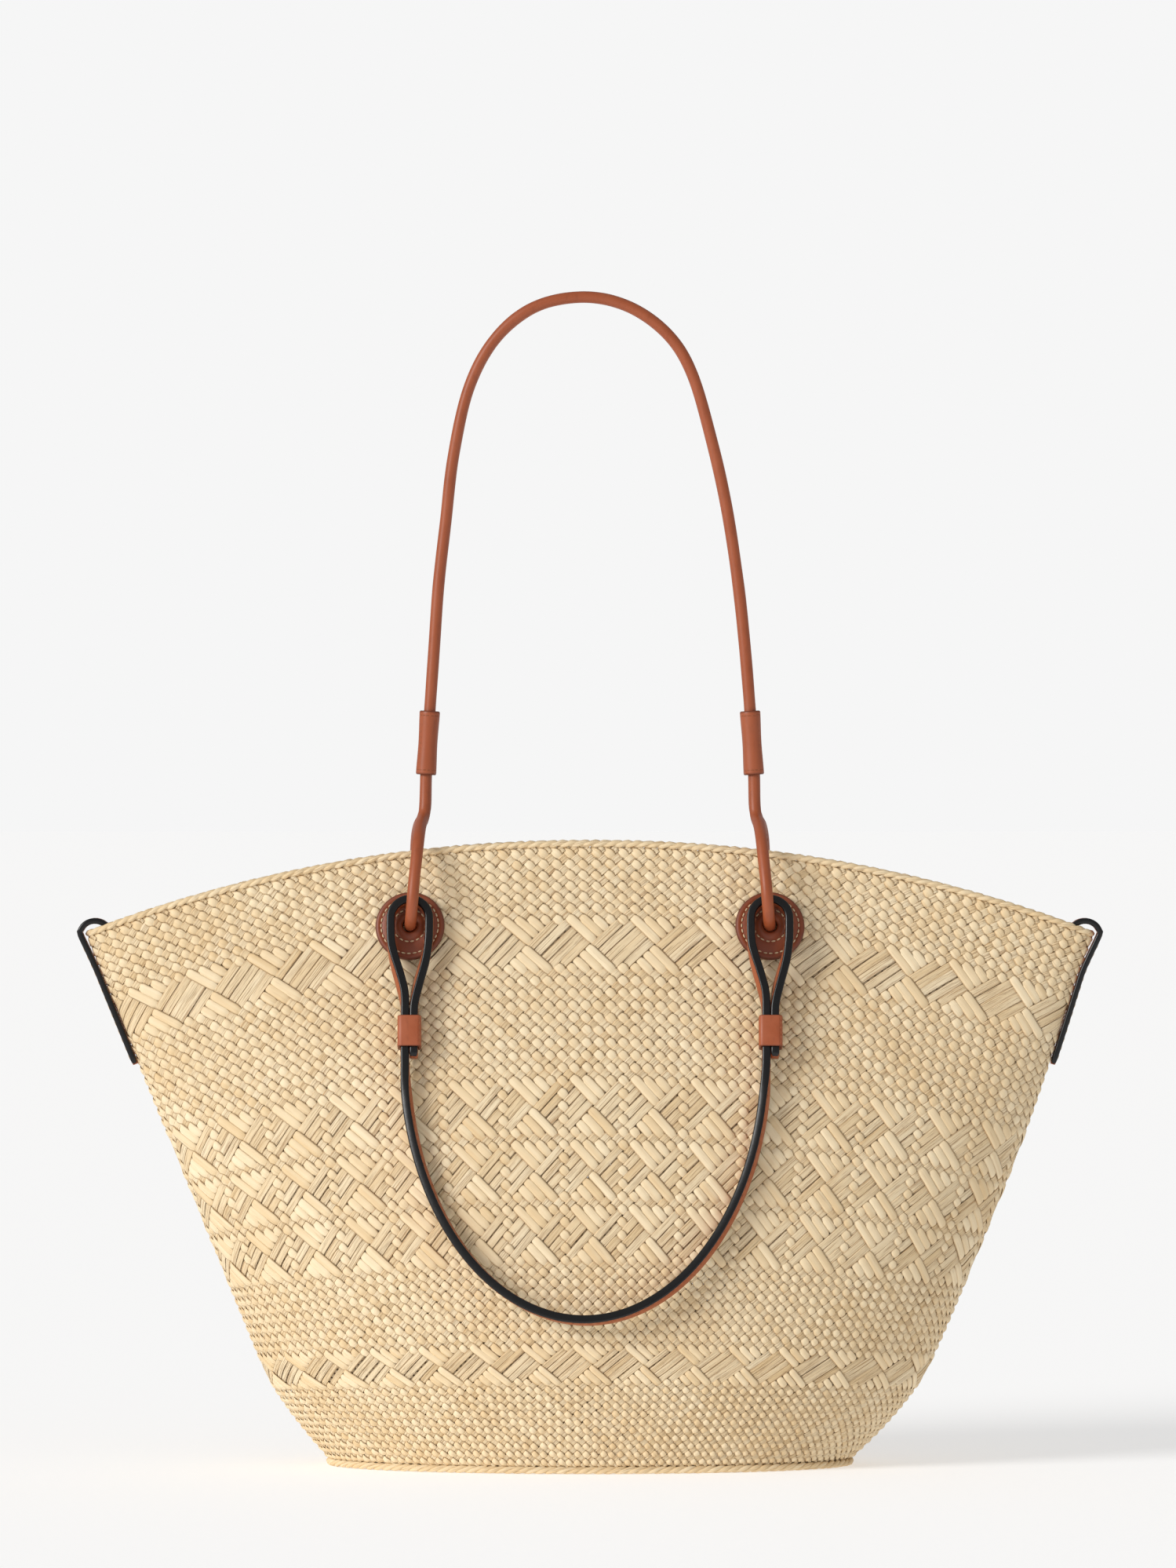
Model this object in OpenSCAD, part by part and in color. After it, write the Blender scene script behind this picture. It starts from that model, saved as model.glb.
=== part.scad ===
/* [Basket] */
// Width of the mouth from side fold to side fold
mouth_w = 514; // [430:1:620]
// Depth of the mouth at its middle
mouth_d = 50; // [44:1:70]
// Width of the base
base_w = 268; // [220:1:330]
// Depth of the base
base_d = 132; // [110:1:150]
// Depth of the basket at its belly
belly_d = 158; // [150:1:190]
// Height of the woven edge at the middle of each panel
crown_h = 314.5; // [280:0.5:350]
// Drop of the woven edge from the middle of a panel to the side folds
rim_drop = 46; // [30:0.5:60]
// How much fuller the right side of the soft basket hangs than the left
slump = 7; // [0:0.5:10]
// Thickness of the plaited palm
wall_t = 3; // [2:0.1:4]
// Thickness of the twisted braid along the rim
rim_braid_d = 3.8; // [3:0.1:5]
// Thickness of the welt round the foot of the wall
welt_d = 4; // [3:0.1:5]

/* [Eyelets] */
// Distance of each eyelet from the middle of the panel
eyelet_x = 91; // [80:1:100]
// Distance of the eyelet centres below the middle of the woven edge
eyelet_drop = 40; // [34:0.5:46]
// Diameter of the round leather patches
patch_d = 35.2; // [28:0.2:40]
// Thickness of the patches
patch_t = 2.4; // [1.6:0.1:3]
// Thickness of the round backers inside the basket
backer_t = 1.8; // [1:0.1:3]
// Diameter of the raised leather ring round each hole
collar_d = 15; // [13:0.1:18]

/* [Shoulder handle] */
// Diameter of the rolled leather cord
cord_d = 6; // [5:0.1:6.4]
// Height of the top of the handle above the woven edge
handle_rise = 283.5; // [200:1:360]
// Height above the woven edge where the cords bend when the handle folds
fold_rise = 29; // [27:0.5:40]
// Width of the leather sleeves seen from the front
sleeve_w = 10.4; // [9.6:0.1:11]
// Length of the sleeves
sleeve_l = 32.5; // [26:0.5:40]

/* [Hand handles] */
// Thickness of the doubled leather strap, seen as its painted edge
strap_t = 4.3; // [3.4:0.1:4.6]
// Width of the strap from painted edge to painted edge
strap_w = 8; // [6:0.1:9]
// Distance from the eyelet loops down to the lowest point of the strap
strap_drop = 216; // [180:1:240]
// Half the width of each teardrop loop, to the middle of the strap
loop_r = 9.7; // [9:0.1:11]
// Length of each leather keeper
keeper_l = 16; // [12:0.5:18]

/* [Side tabs] */
// Width of the side tabs
tab_w = 8; // [5:0.5:8]
// Thickness of the side tabs
tab_t = 3; // [2:0.1:4]
// Length of the side tabs down the fold, from the corner of the woven edge
tab_l = 64.5; // [50:0.5:80]

/* [Hidden] */

STRAW = "#E8D3A4";
STRAW_DARK = "#CDB07A";
TAN = "#A4552F";
TAN_LIGHT = "#B5694A";
EDGE_PAINT = "#1E1C1E";
CREAM = "#E3C9A0";

gap = 0.3;            // clearance between neighbouring pieces
patch_seat = 0.9;     // from the panel's curve to the flat back of a patch
touch = 0.05;         // clearance between pieces that lie against each other
thread_d = 0.7;       // sewing thread
wall_sides = 72;      // facets round the basket
wall_rings = 14;      // facets up the basket
cord_sides = 12;      // facets round a cord
foot_round = 14.6;    // how far the foot of the wall curves in
foot_round_h = 47;    // height of that curve
belly_at = 0.27;      // share of the height where the basket is deepest
slump_top = 0.93;     // share of the height above which both sides are alike

corner_h = crown_h - rim_drop;
eyelet_z = crown_h - eyelet_drop;
fold_z = crown_h + fold_rise;
handle_top = crown_h + handle_rise;
tab_foot_z = corner_h - tab_l;

// ---- basket surface: v runs from 0 at the foot to 1 at the woven edge ----
function edge_z(x) = crown_h - (crown_h - corner_h) * pow(min(abs(2 * x / mouth_w), 1), 2.1);
function half_w(v) =
    let (foot = base_w / 2 + foot_round, z = v * corner_h)
    foot + (mouth_w / 2 - foot) * v - foot_round * pow(max(1 - z / foot_round_h, 0), 1.6);
function half_d(v) =
    v < belly_at
        ? base_d / 2 + (belly_d - base_d) / 2 * sin(90 * v / belly_at)
        : mouth_d / 2
            + (belly_d - mouth_d) / 2 * pow(cos(90 * (v - belly_at) / (1 - belly_at)), 1.5);
// The wall stands on the welt.
foot_z = welt_d + touch;
function height_at(angle, v) = mix(foot_z, edge_z(half_w(1) * cos(angle)), v);
function slump_at(v) =
    slump * (v < 0.5 ? 1 - pow(1 - 2 * v, 4)
        : cos(90 * min((v - 0.5) / (slump_top - 0.5), 1)));
function wall_point(angle, v, inset) = [
    (half_w(v) - inset) * cos(angle) + slump_at(v) * pow((1 + cos(angle)) / 2, 2),
    (half_d(v) - inset) * sin(angle),
    height_at(angle, v)
];
// Share of the height of the panel point (x, z), found by repeated correction.
function share_at(x, z, v = 0.8, rounds = 12) =
    rounds == 0 ? v :
    share_at(x, z, (z - foot_z) / (edge_z(x * half_w(1) / half_w(v)) - foot_z), rounds - 1);
// Distance of the outer face of the panel from the middle plane, at (x, z).
function panel_y(x, z) =
    let (v = share_at(x, z))
    half_d(v) * sqrt(1 - pow(x / half_w(v), 2));
// Distance of the side fold from the middle at height z, on the left (-1) or the right (1).
function fold_x(z, side = -1) =
    let (v = (z - foot_z) / (corner_h - foot_z))
    half_w(v) + (side > 0 ? slump_at(v) : 0);

eyelet_y = panel_y(eyelet_x, eyelet_z);
eyelet_lean = atan((panel_y(eyelet_x, eyelet_z - 5) - panel_y(eyelet_x, eyelet_z + 5)) / 10);
eyelet_turn = atan((panel_y(eyelet_x - 5, eyelet_z) - panel_y(eyelet_x + 5, eyelet_z)) / 10);
hole_r = cord_d / 2 + 0.5;
patch_face = patch_seat + patch_t;

// ---- swept tubes and ribbons ----
function unit(a) = a / norm(a);
function mix(a, b, t) = a + (b - a) * t;
// Smooth curve through the points p, with n steps between neighbours.
function between(a, b, c, d, t) =
    0.5 * (2 * b + (c - a) * t + (2 * a - 5 * b + 4 * c - d) * t * t
        + (3 * b - a - 3 * c + d) * t * t * t);
function smooth_path(p, n) = [
    for (i = [0:len(p) - 2])
        for (k = [0:(i == len(p) - 2 ? n : n - 1)])
            between(
                i == 0 ? 2 * p[0] - p[1] : p[i - 1], p[i], p[i + 1],
                i == len(p) - 2 ? 2 * p[i + 1] - p[i] : p[i + 2], k / n)
];
function tangent(p, i) = unit(p[min(i + 1, len(p) - 1)] - p[max(i - 1, 0)]);
// Each ring is turned as little as possible from the one before it.
function carried(side, along) = unit(side - along * (side * along));
function sides_of(p, i = 0, side = [0, 1, 0]) =
    i == len(p) ? [] :
    let (next = carried(side, tangent(p, i)))
    concat([next], sides_of(p, i + 1, next));

module tube(p, d, start_side) {
    rings = len(p);
    side = sides_of(p, 0, start_side);
    points = [
        for (i = [0:rings - 1])
            let (other = cross(tangent(p, i), side[i]))
            for (k = [0:cord_sides - 1])
                let (a = 360 * k / cord_sides)
                p[i] + d / 2 * (cos(a) * side[i] + sin(a) * other)
    ];
    faces = concat(
        [[for (k = [0:cord_sides - 1]) k]],
        [for (i = [0:rings - 2]) for (k = [0:cord_sides - 1])
            let (next = (k + 1) % cord_sides)
            [i * cord_sides + k, (i + 1) * cord_sides + k,
                (i + 1) * cord_sides + next, i * cord_sides + next]],
        [[for (k = [cord_sides - 1:-1:0]) (rings - 1) * cord_sides + k]]
    );
    polyhedron(points, faces, convexity = 10);
}

// Closed tube round the basket along centre points p, in the upright plane of each point.
module ring_tube(p, d, sides) {
    rings = len(p);
    points = [
        for (i = [0:rings - 1])
            let (
                along = unit(p[(i + 1) % rings] - p[(i + rings - 1) % rings]),
                out = unit(cross(along, [0, 0, 1])),
                up = cross(out, along))
            for (k = [0:sides - 1])
                let (a = 360 * k / sides)
                p[i] + d / 2 * (cos(a) * out + sin(a) * up)
    ];
    faces = [for (i = [0:rings - 1]) for (k = [0:sides - 1])
        let (j = (i + 1) % rings, next = (k + 1) % sides)
        [i * sides + k, j * sides + k, j * sides + next, i * sides + next]];
    polyhedron(points, faces, convexity = 10);
}

function flat_normal(p, i) =
    let (t = unit(p[min(i + 1, len(p) - 1)] - p[max(i - 1, 0)]))
    [-t[1], t[0]];
function offset_line(p, by) = [for (i = [0:len(p) - 1]) p[i] + by * flat_normal(p, i)];
function reversed(p) = [for (i = [len(p) - 1:-1:0]) p[i]];
// Band between two offsets of the flat line p.
module band(p, inner, outer) {
    polygon(concat(offset_line(p, inner), reversed(offset_line(p, outer))));
}

// ---- basket ----
module wall_solid() {
    top = wall_rings;
    ring_shares = [for (i = [0:top]) pow(i / top, 1.25)];
    count = (top + 1) * wall_sides;
    points = [
        for (inset = [0, wall_t]) for (i = [0:top]) for (k = [0:wall_sides - 1])
            wall_point(360 * k / wall_sides, ring_shares[i], inset)
    ];
    faces = [
        for (k = [0:wall_sides - 1])
            let (n = (k + 1) % wall_sides)
            each concat(
                [for (i = [0:top - 1])
                    [i * wall_sides + k, (i + 1) * wall_sides + k,
                        (i + 1) * wall_sides + n, i * wall_sides + n]],
                [for (i = [0:top - 1])
                    [count + i * wall_sides + n, count + (i + 1) * wall_sides + n,
                        count + (i + 1) * wall_sides + k, count + i * wall_sides + k]],
                [[k, n, count + n, count + k]],
                [[top * wall_sides + n, top * wall_sides + k,
                    count + top * wall_sides + k, count + top * wall_sides + n]])
    ];
    polyhedron(points, faces, convexity = 10);
}

module woven_wall() {
    color(STRAW)
        difference() {
            wall_solid();
            for (sx = [-1, 1], sy = [-1, 1])
                at_eyelet(sx, sy)
                    translate([0, 0, -6 - wall_t])
                        cylinder(h = wall_t + 12, r = hole_r, $fn = 48);
        }
}

module woven_base() {
    color(STRAW)
        linear_extrude(wall_t)
            polygon([for (k = [0:wall_sides - 1])
                let (p = wall_point(360 * k / wall_sides, 0, (wall_t + welt_d) / 2 + gap))
                [p[0], p[1]]]);
}

module base_welt() {
    color(STRAW_DARK)
        ring_tube([for (k = [0:wall_sides - 1])
            wall_point(360 * k / wall_sides, 0, wall_t / 2) - [0, 0, foot_z - welt_d / 2]],
            welt_d, 8);
}

module rim_braid() {
    color(STRAW_DARK)
        ring_tube([for (k = [0:wall_sides - 1])
            wall_point(360 * k / wall_sides, 1, wall_t / 2)
                + [0, 0, rim_braid_d / 2 + gap]],
            rim_braid_d, 8);
}

// ---- eyelets: children stand on the outer face of the panel, +Z outwards ----
module at_eyelet(sx, sy) {
    mirror([sx < 0 ? 1 : 0, 0, 0])
        mirror([0, sy > 0 ? 1 : 0, 0])
            translate([eyelet_x, -eyelet_y, eyelet_z])
                rotate([0, 0, eyelet_turn])
                    rotate([90 - eyelet_lean, 0, 0])
                        children();
}

module patch(sx, sy) {
    collar_r = collar_d / 2;
    edge = 0.8;
    color(TAN)
        at_eyelet(sx, sy)
            translate([0, 0, patch_seat])
                rotate_extrude($fn = 72)
                    polygon([
                        [hole_r, 0], [patch_d / 2, 0], [patch_d / 2, patch_t - edge],
                        [patch_d / 2 - edge, patch_t], [collar_r, patch_t],
                        [collar_r - 2, patch_t + 1], [hole_r, patch_t + 1]
                    ]);
}

module ring_of_stitches(r, count, height) {
    stitch = 2 * PI * r / count * 0.62;
    for (k = [0:count - 1])
        rotate(360 * k / count)
            translate([r - thread_d / 2, -stitch / 2, height])
                cube([thread_d, stitch, 0.4]);
}

module patch_thread(sx, sy) {
    outer_r = patch_d / 2 - 3.1;
    inner_r = collar_d / 2 + 0.7;
    color(CREAM)
        at_eyelet(sx, sy) {
            ring_of_stitches(outer_r, 32, patch_face);
            ring_of_stitches(inner_r, 18, patch_face);
        }
}

module backer(sx, sy) {
    color(TAN_LIGHT)
        at_eyelet(sx, sy)
            translate([0, 0, -wall_t - gap - backer_t])
                difference() {
                    cylinder(h = backer_t, d = patch_d, $fn = 72);
                    translate([0, 0, -1])
                        cylinder(h = backer_t + 2, r = hole_r, $fn = 48);
                }
}

// ---- side tabs: folded over each corner of the rim ----
tab_clear = 0.35;
tab_bend_z = corner_h + rim_braid_d / 2;
// The side fold leans outwards, so a distance square to it is longer measured sideways.
flare = atan((fold_x(tab_bend_z) - fold_x(tab_foot_z)) / (tab_bend_z - tab_foot_z));
across_fold = 1 / cos(flare);
tab_off = (tab_clear + tab_t / 2) * across_fold;
tab_out = fold_x(tab_bend_z) + tab_off;
tab_in = fold_x(tab_bend_z) - 12 * across_fold;
// Inside the basket the tab runs down beside the fold.
function tab_tail(drop, off) = [fold_x(tab_bend_z - drop) - off * across_fold, tab_bend_z - drop];
tab_top = edge_z(fold_x(tab_bend_z) - 8) + rim_braid_d + 2 * gap + tab_t / 2;
function tab_line(side) = concat(
    [for (k = [0:7])
        let (z = mix(tab_foot_z, tab_bend_z, k / 7))
        [fold_x(z, side) + tab_off, z]],
    [for (a = [20:20:160])
        [mix(tab_in, tab_out, 0.5) + (tab_out - tab_in) / 2 * cos(a),
            tab_bend_z + (tab_top - tab_bend_z) * sin(a)]],
    [[tab_in, tab_bend_z], tab_tail(10, 11), tab_tail(25, 11)]
);

module side_tab(sx) {
    color(TAN)
        mirror([sx < 0 ? 1 : 0, 0, 0])
            translate([0, tab_w / 2, 0])
                rotate([90, 0, 0])
                    linear_extrude(tab_w)
                        band(tab_line(sx), -tab_t / 2, tab_t / 2);
}

module tab_thread(sx) {
    count = 14;
    line = tab_line(sx);
    foot = line[0];
    head = line[7];
    lean = atan2(head[0] - foot[0], head[1] - foot[1]);
    run = norm(head - foot);
    color(CREAM)
        mirror([sx < 0 ? 1 : 0, 0, 0])
            for (side = [-1, 1])
                translate([foot[0], side * (tab_w / 2 - 3), foot[1]])
                    rotate([0, lean, 0])
                        for (k = [0:count - 1])
                            translate([tab_t / 2 + 0.25, -thread_d / 2, 2 + k * (run - 4) / count])
                                cube([0.4, thread_d, (run - 4) / count * 0.6]);
}

// ---- shoulder handle ----
pinch = cord_d / 2 + 0.1;            // half the distance between the two cords in a sleeve
sleeve_foot = [eyelet_x - 7.4, 0, fold_z + 8];
sleeve_head = [eyelet_x - 9.4, 0, fold_z + 8 + sleeve_l];
sleeve_lean = -atan((sleeve_foot[0] - sleeve_head[0]) / sleeve_l);
sleeve_wall = (sleeve_w - cord_d) / 2 - touch;
loop_top = [eyelet_x - 7, -(pinch + 1.6), fold_z - 8];
hinge_z = eyelet_z + 13.5;           // the hand handles hang from the cords here
strap_y = panel_y(eyelet_x, hinge_z) + patch_face + strap_w / 2 + 2.2;
cord_front = strap_y + strap_w / 2 + cord_d / 2 + 1.4;
braid_y = half_d(1) * sqrt(1 - pow(eyelet_x / half_w(1), 2)) + (rim_braid_d + cord_d) / 2;
sink = sin(eyelet_lean);
sag_z = eyelet_z - eyelet_y * 0.24;

// The cord of one side: down in front, in through the eyelet, across, and up behind.
// x_rim and x_out say how far out that run is at the rim and below it.
function cord_run(x_rim, x_out) = [
    loop_top,
    [mix(loop_top[0], x_rim, 0.3), -8.3, fold_z - 14.2],
    [mix(loop_top[0], x_rim, 0.7), mix(-8.3, -braid_y, 0.5), mix(fold_z - 14.2, crown_h + 9, 0.62)],
    [x_rim, -(braid_y + 2.6), crown_h + 4.5],
    [mix(x_rim, x_out, 0.5), mix(-(braid_y + 2.6), -cord_front, 0.62), crown_h - 7.5],
    [x_out, -cord_front + 0.2, hinge_z + 7],
    [mix(x_out, eyelet_x, 0.4), -cord_front, hinge_z - 3],
    [mix(x_out, eyelet_x, 0.8), -(eyelet_y + patch_face + 7.5), eyelet_z + 2.9],
    [eyelet_x, -(eyelet_y + 2), eyelet_z + 2 * sink],
    [eyelet_x, -(eyelet_y - 6), eyelet_z - 6 * sink]
];
function mirrored(p) = [for (q = reversed(p)) [q[0], -q[1], q[2]]];
loop_route = concat(
    cord_run(eyelet_x - 4.2, eyelet_x - 1.9),
    [[eyelet_x, 0, sag_z]],
    mirrored(cord_run(eyelet_x - 2, eyelet_x - 0.6)));

// Centre points of the arch as drawn for a handle of these sizes.
drawn_half_w = 81.6;
drawn_pinch = 3.1;
drawn_foot = 384;
drawn_top = 595;
arch_route = [
    [-81.6, -3.1, 384], [-79.4, -2.2, 416], [-77.2, -0.8, 448], [-73.6, 0, 480],
    [-69.6, 0, 514], [-61.6, 0, 549], [-48, 0, 574], [-28, 0, 590], [-3, 0, 595],
    [20, 0, 590], [39.6, 0, 576], [52, 0, 556], [62, 0, 522], [69.6, 0, 488],
    [75.4, -0.8, 450], [79, -2.2, 416], [81.6, -3.1, 384]
];
arch_foot = sleeve_head[2];
arch_rise = handle_top - cord_d / 2 - arch_foot;
function arch_point(q) = [
    q[0] * sleeve_head[0] / drawn_half_w,
    q[1] * pinch / drawn_pinch,
    arch_foot + (q[2] - drawn_foot) * arch_rise / (drawn_top - drawn_foot)
];

module cord_loop(sx) {
    color(TAN)
        mirror([sx < 0 ? 1 : 0, 0, 0])
            tube(smooth_path(loop_route, 3), cord_d, [1, 0, 0]);
}

module shoulder_arch() {
    arch = [for (q = arch_route) arch_point(q)];
    start = [-sleeve_foot[0], -pinch, sleeve_foot[2]];
    finish = [sleeve_foot[0], -pinch, sleeve_foot[2]];
    color(TAN)
        tube(concat([start], smooth_path(arch, 3), [finish]), cord_d, [0, 1, 0]);
}

module at_sleeve(sx) {
    mirror([sx < 0 ? 1 : 0, 0, 0])
        translate(sleeve_foot)
            rotate([0, sleeve_lean, 0])
                children();
}

module slot(w, between_centres) {
    square([w, between_centres], center = true);
    for (s = [-1, 1])
        translate([0, s * between_centres / 2])
            circle(d = w, $fn = 48);
}

module sleeve(sx) {
    color(TAN)
        at_sleeve(sx)
            linear_extrude(sleeve_l)
                difference() {
                    slot(sleeve_w, 2 * pinch);
                    slot(sleeve_w - 2 * sleeve_wall, 2 * pinch);
                }
}

module sleeve_thread(sx) {
    count = 4;
    color(TAN_LIGHT)
        at_sleeve(sx)
            for (level = [3, sleeve_l - 3], face = [-1, 1])
                for (k = [0:count - 1])
                    rotate([0, 0, face * 90])
                        translate([pinch, 0, level])
                            rotate(20 * (k - (count - 1) / 2))
                                translate([sleeve_w / 2, -0.6, -thread_d / 2])
                                    cube([0.4, 1.2, thread_d]);
}

module cord_end(sx) {
    color(TAN)
        at_sleeve(sx)
            translate([0, pinch, 0])
                cylinder(h = sleeve_l - 4, d = cord_d, $fn = 32);
}

// ---- hand handles: drawn flat, x across and y up from the hinge ----
keeper_top = -60.5;
keeper_foot = keeper_top - keeper_l;
leg = strap_t / 2 + touch;             // the two legs lie side by side in a keeper
bow_top = keeper_foot - 4;
widest = -17;

// Distance of a teardrop's leg from its middle, from the widest place to the keeper.
function loop_leg(h) =
    let (u = min(max((widest - h) / (widest - keeper_top - 3), 0), 1))
    mix(loop_r, leg, 0.5 - 0.5 * cos(180 * u));
leg_heights = [for (k = [0:9]) mix(widest, keeper_top + 3, k / 9)];
// From the short cut end, up the right leg, over the top and down the left leg.
function teardrop(x) = concat(
    [[x + leg, keeper_foot - 5]],
    [for (h = reversed(leg_heights)) [x + loop_leg(h), h]],
    [for (a = [0:15:180]) [x + loop_r * cos(a), loop_r * sin(a) - loop_r]],
    [for (h = leg_heights) [x - loop_leg(h), h]],
    [[x - leg, keeper_foot]]
);
bow_x = -leg;
bow_drop = strap_drop + bow_top;
bow_line = [for (a = [180:6:360])
    [bow_x + eyelet_x * cos(a), bow_top + bow_drop * sin(a)]];
strap_line = concat(teardrop(-eyelet_x), bow_line, reversed(teardrop(eyelet_x)));
keeper_leather = 1.5;
lie_clear = 1.6;                       // from the panel to a strap that lies on it
// Lean at which a piece of the given half depth, at (x, h), lies on the panel.
function lean_at(x, h, half_depth) =
    asin((panel_y(x, hinge_z + 0.97 * h) + lie_clear + half_depth - strap_y) / -h);
strap_rest = max(concat(
    [for (p = bow_line) lean_at(p[0], p[1], strap_w / 2)],
    [lean_at(eyelet_x, keeper_foot, strap_w / 2 + touch + keeper_leather)]));

module hang(turn) {
    rotate(turn)
        translate([0, -strap_y, hinge_z])
            rotate([90 - strap_rest, 0, 0])
                translate([0, 0, -strap_w / 2])
                    children();
}

module strap(turn) {
    color(EDGE_PAINT)
        hang(turn)
            linear_extrude(strap_w)
                band(strap_line, -strap_t / 2, strap_t / 2);
}

module strap_thread(turn) {
    sewn = [for (i = [2:len(bow_line) - 3]) bow_line[i]];
    color(CREAM)
        hang(turn)
            translate([0, 0, strap_w / 2 - thread_d / 2])
                linear_extrude(thread_d)
                    for (face = [-1, 1])
                        band(sewn, face * (strap_t / 2 + touch), face * (strap_t / 2 + 0.3));
}

module keeper_at(x) {
    translate([x, keeper_foot, strap_w / 2])
        rotate([-90, 0, 0])
            children();
}

module keeper(turn, sx) {
    inner_w = 2 * strap_t + 4 * touch;
    inner_d = strap_w + 2 * touch;
    outer = 2 * keeper_leather;
    color(TAN_LIGHT)
        hang(turn)
            keeper_at(sx * eyelet_x)
                linear_extrude(keeper_l)
                    difference() {
                        square([inner_w + outer, inner_d + outer], center = true);
                        square([inner_w, inner_d], center = true);
                    }
}

module keeper_thread(turn) {
    count = 5;
    side = strap_t + 2 * touch + keeper_leather;
    color(CREAM)
        hang(turn)
            for (sx = [-1, 1])
                keeper_at(sx * eyelet_x)
                    for (k = [0:count - 1])
                        translate([side, -2, 1.4 + k * (keeper_l - 2.4) / count])
                            cube([0.4, thread_d, (keeper_l - 2.4) / count * 0.6]);
}

woven_wall();
woven_base();
base_welt();
rim_braid();
patch(-1, -1);  // front_left_patch
patch(1, -1);  // front_right_patch
patch(-1, 1);  // back_left_patch
patch(1, 1);  // back_right_patch
patch_thread(-1, -1);  // front_left_patch_thread
patch_thread(1, -1);  // front_right_patch_thread
patch_thread(-1, 1);  // back_left_patch_thread
patch_thread(1, 1);  // back_right_patch_thread
backer(-1, -1);  // front_left_backer
backer(1, -1);  // front_right_backer
backer(-1, 1);  // back_left_backer
backer(1, 1);  // back_right_backer
side_tab(-1);  // left_side_tab
side_tab(1);  // right_side_tab
tab_thread(-1);  // left_tab_thread
tab_thread(1);  // right_tab_thread
cord_loop(-1);  // left_cord_loop
cord_loop(1);  // right_cord_loop
shoulder_arch();
cord_end(-1);  // left_cord_end
cord_end(1);  // right_cord_end
sleeve(-1);  // left_sleeve
sleeve(1);  // right_sleeve
sleeve_thread(-1);  // left_sleeve_thread
sleeve_thread(1);  // right_sleeve_thread
strap(0);  // front_strap
strap_thread(0);  // front_strap_thread
keeper(0, -1);  // front_left_keeper
keeper(0, 1);  // front_right_keeper
keeper_thread(0);  // front_keeper_thread
strap(180);  // back_strap
strap_thread(180);  // back_strap_thread
keeper(180, 1);  // back_left_keeper
keeper(180, -1);  // back_right_keeper
keeper_thread(180);  // back_keeper_thread
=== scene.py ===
"""Palm basket bag: a plaited palm basket with rolled-leather handles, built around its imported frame."""

import math
import random

import bmesh
import bpy
import numpy as np
from mathutils import Matrix, Vector


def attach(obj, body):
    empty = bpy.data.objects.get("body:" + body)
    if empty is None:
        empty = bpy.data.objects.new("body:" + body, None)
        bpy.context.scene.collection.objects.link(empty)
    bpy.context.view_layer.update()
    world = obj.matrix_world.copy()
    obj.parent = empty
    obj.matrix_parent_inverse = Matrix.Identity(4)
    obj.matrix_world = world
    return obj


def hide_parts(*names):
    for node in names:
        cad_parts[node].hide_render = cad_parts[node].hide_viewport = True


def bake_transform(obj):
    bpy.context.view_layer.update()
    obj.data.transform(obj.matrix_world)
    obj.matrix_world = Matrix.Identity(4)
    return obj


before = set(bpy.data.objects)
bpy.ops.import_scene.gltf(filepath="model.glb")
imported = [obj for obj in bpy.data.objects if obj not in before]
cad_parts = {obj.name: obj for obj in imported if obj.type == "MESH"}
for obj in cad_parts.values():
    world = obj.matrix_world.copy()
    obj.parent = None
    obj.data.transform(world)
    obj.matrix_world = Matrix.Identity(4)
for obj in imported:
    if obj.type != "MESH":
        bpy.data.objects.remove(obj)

bl_info = {
    "name": "Palm Basket Bag",
    "version": (1, 0, 0),
    "blender": (4, 5, 0),
    "location": "View3D > Sidebar > Basket",
    "description": "Builds a plaited palm basket with rolled-leather handles",
    "category": "Add Mesh",
}

MM = 0.001
TURN = 2 * math.pi


# ---- sizes and colours ----
def hue(code):
    """Linear colour of a #RRGGBB code."""
    parts = [int(code[k:k + 2], 16) / 255 for k in (1, 3, 5)]
    return tuple(p / 12.92 if p <= 0.04045 else ((p + 0.055) / 1.055) ** 2.4 for p in parts)


def length_of(label, words, value):
    """A size, given in millimetres and held in metres."""
    return bpy.props.FloatProperty(name=label, description=words, default=value * MM, min=0,
                                   subtype="DISTANCE", unit="LENGTH", precision=4)


def colour_of(label, words, code):
    return bpy.props.FloatVectorProperty(name=label, description=words, default=hue(code),
                                         subtype="COLOR", size=3, min=0, max=1)


def count_of(label, words, value):
    return bpy.props.IntProperty(name=label, description=words, default=value, min=1)


class BASKET_PG_sizes(bpy.types.PropertyGroup):
    """Sizes of the plaited basket."""
    mouth_w: length_of("Mouth Width", "Width of the mouth from fold to fold", 514)
    mouth_d: length_of("Mouth Depth", "Depth of the mouth at its middle", 50)
    base_w: length_of("Base Width", "Width of the base", 268)
    base_d: length_of("Base Depth", "Depth of the base", 132)
    belly_d: length_of("Belly Depth", "Depth where the basket is deepest", 158)
    corner_h: length_of("Corner Height", "Height of the woven edge at the folds", 268.5)
    crown_h: length_of("Crown Height", "Height of the woven edge in the middle", 314.5)
    slump: length_of("Slump", "How much fuller the right side hangs than the left", 7)
    strands: count_of("Strands", "Strands of each slant round the basket", 155)
    rows: count_of("Rows", "Rows of plaiting from the foot to the rim", 56)
    strand_t: length_of("Strand Thickness", "Thickness of a palm strand", 0.85)


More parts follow.
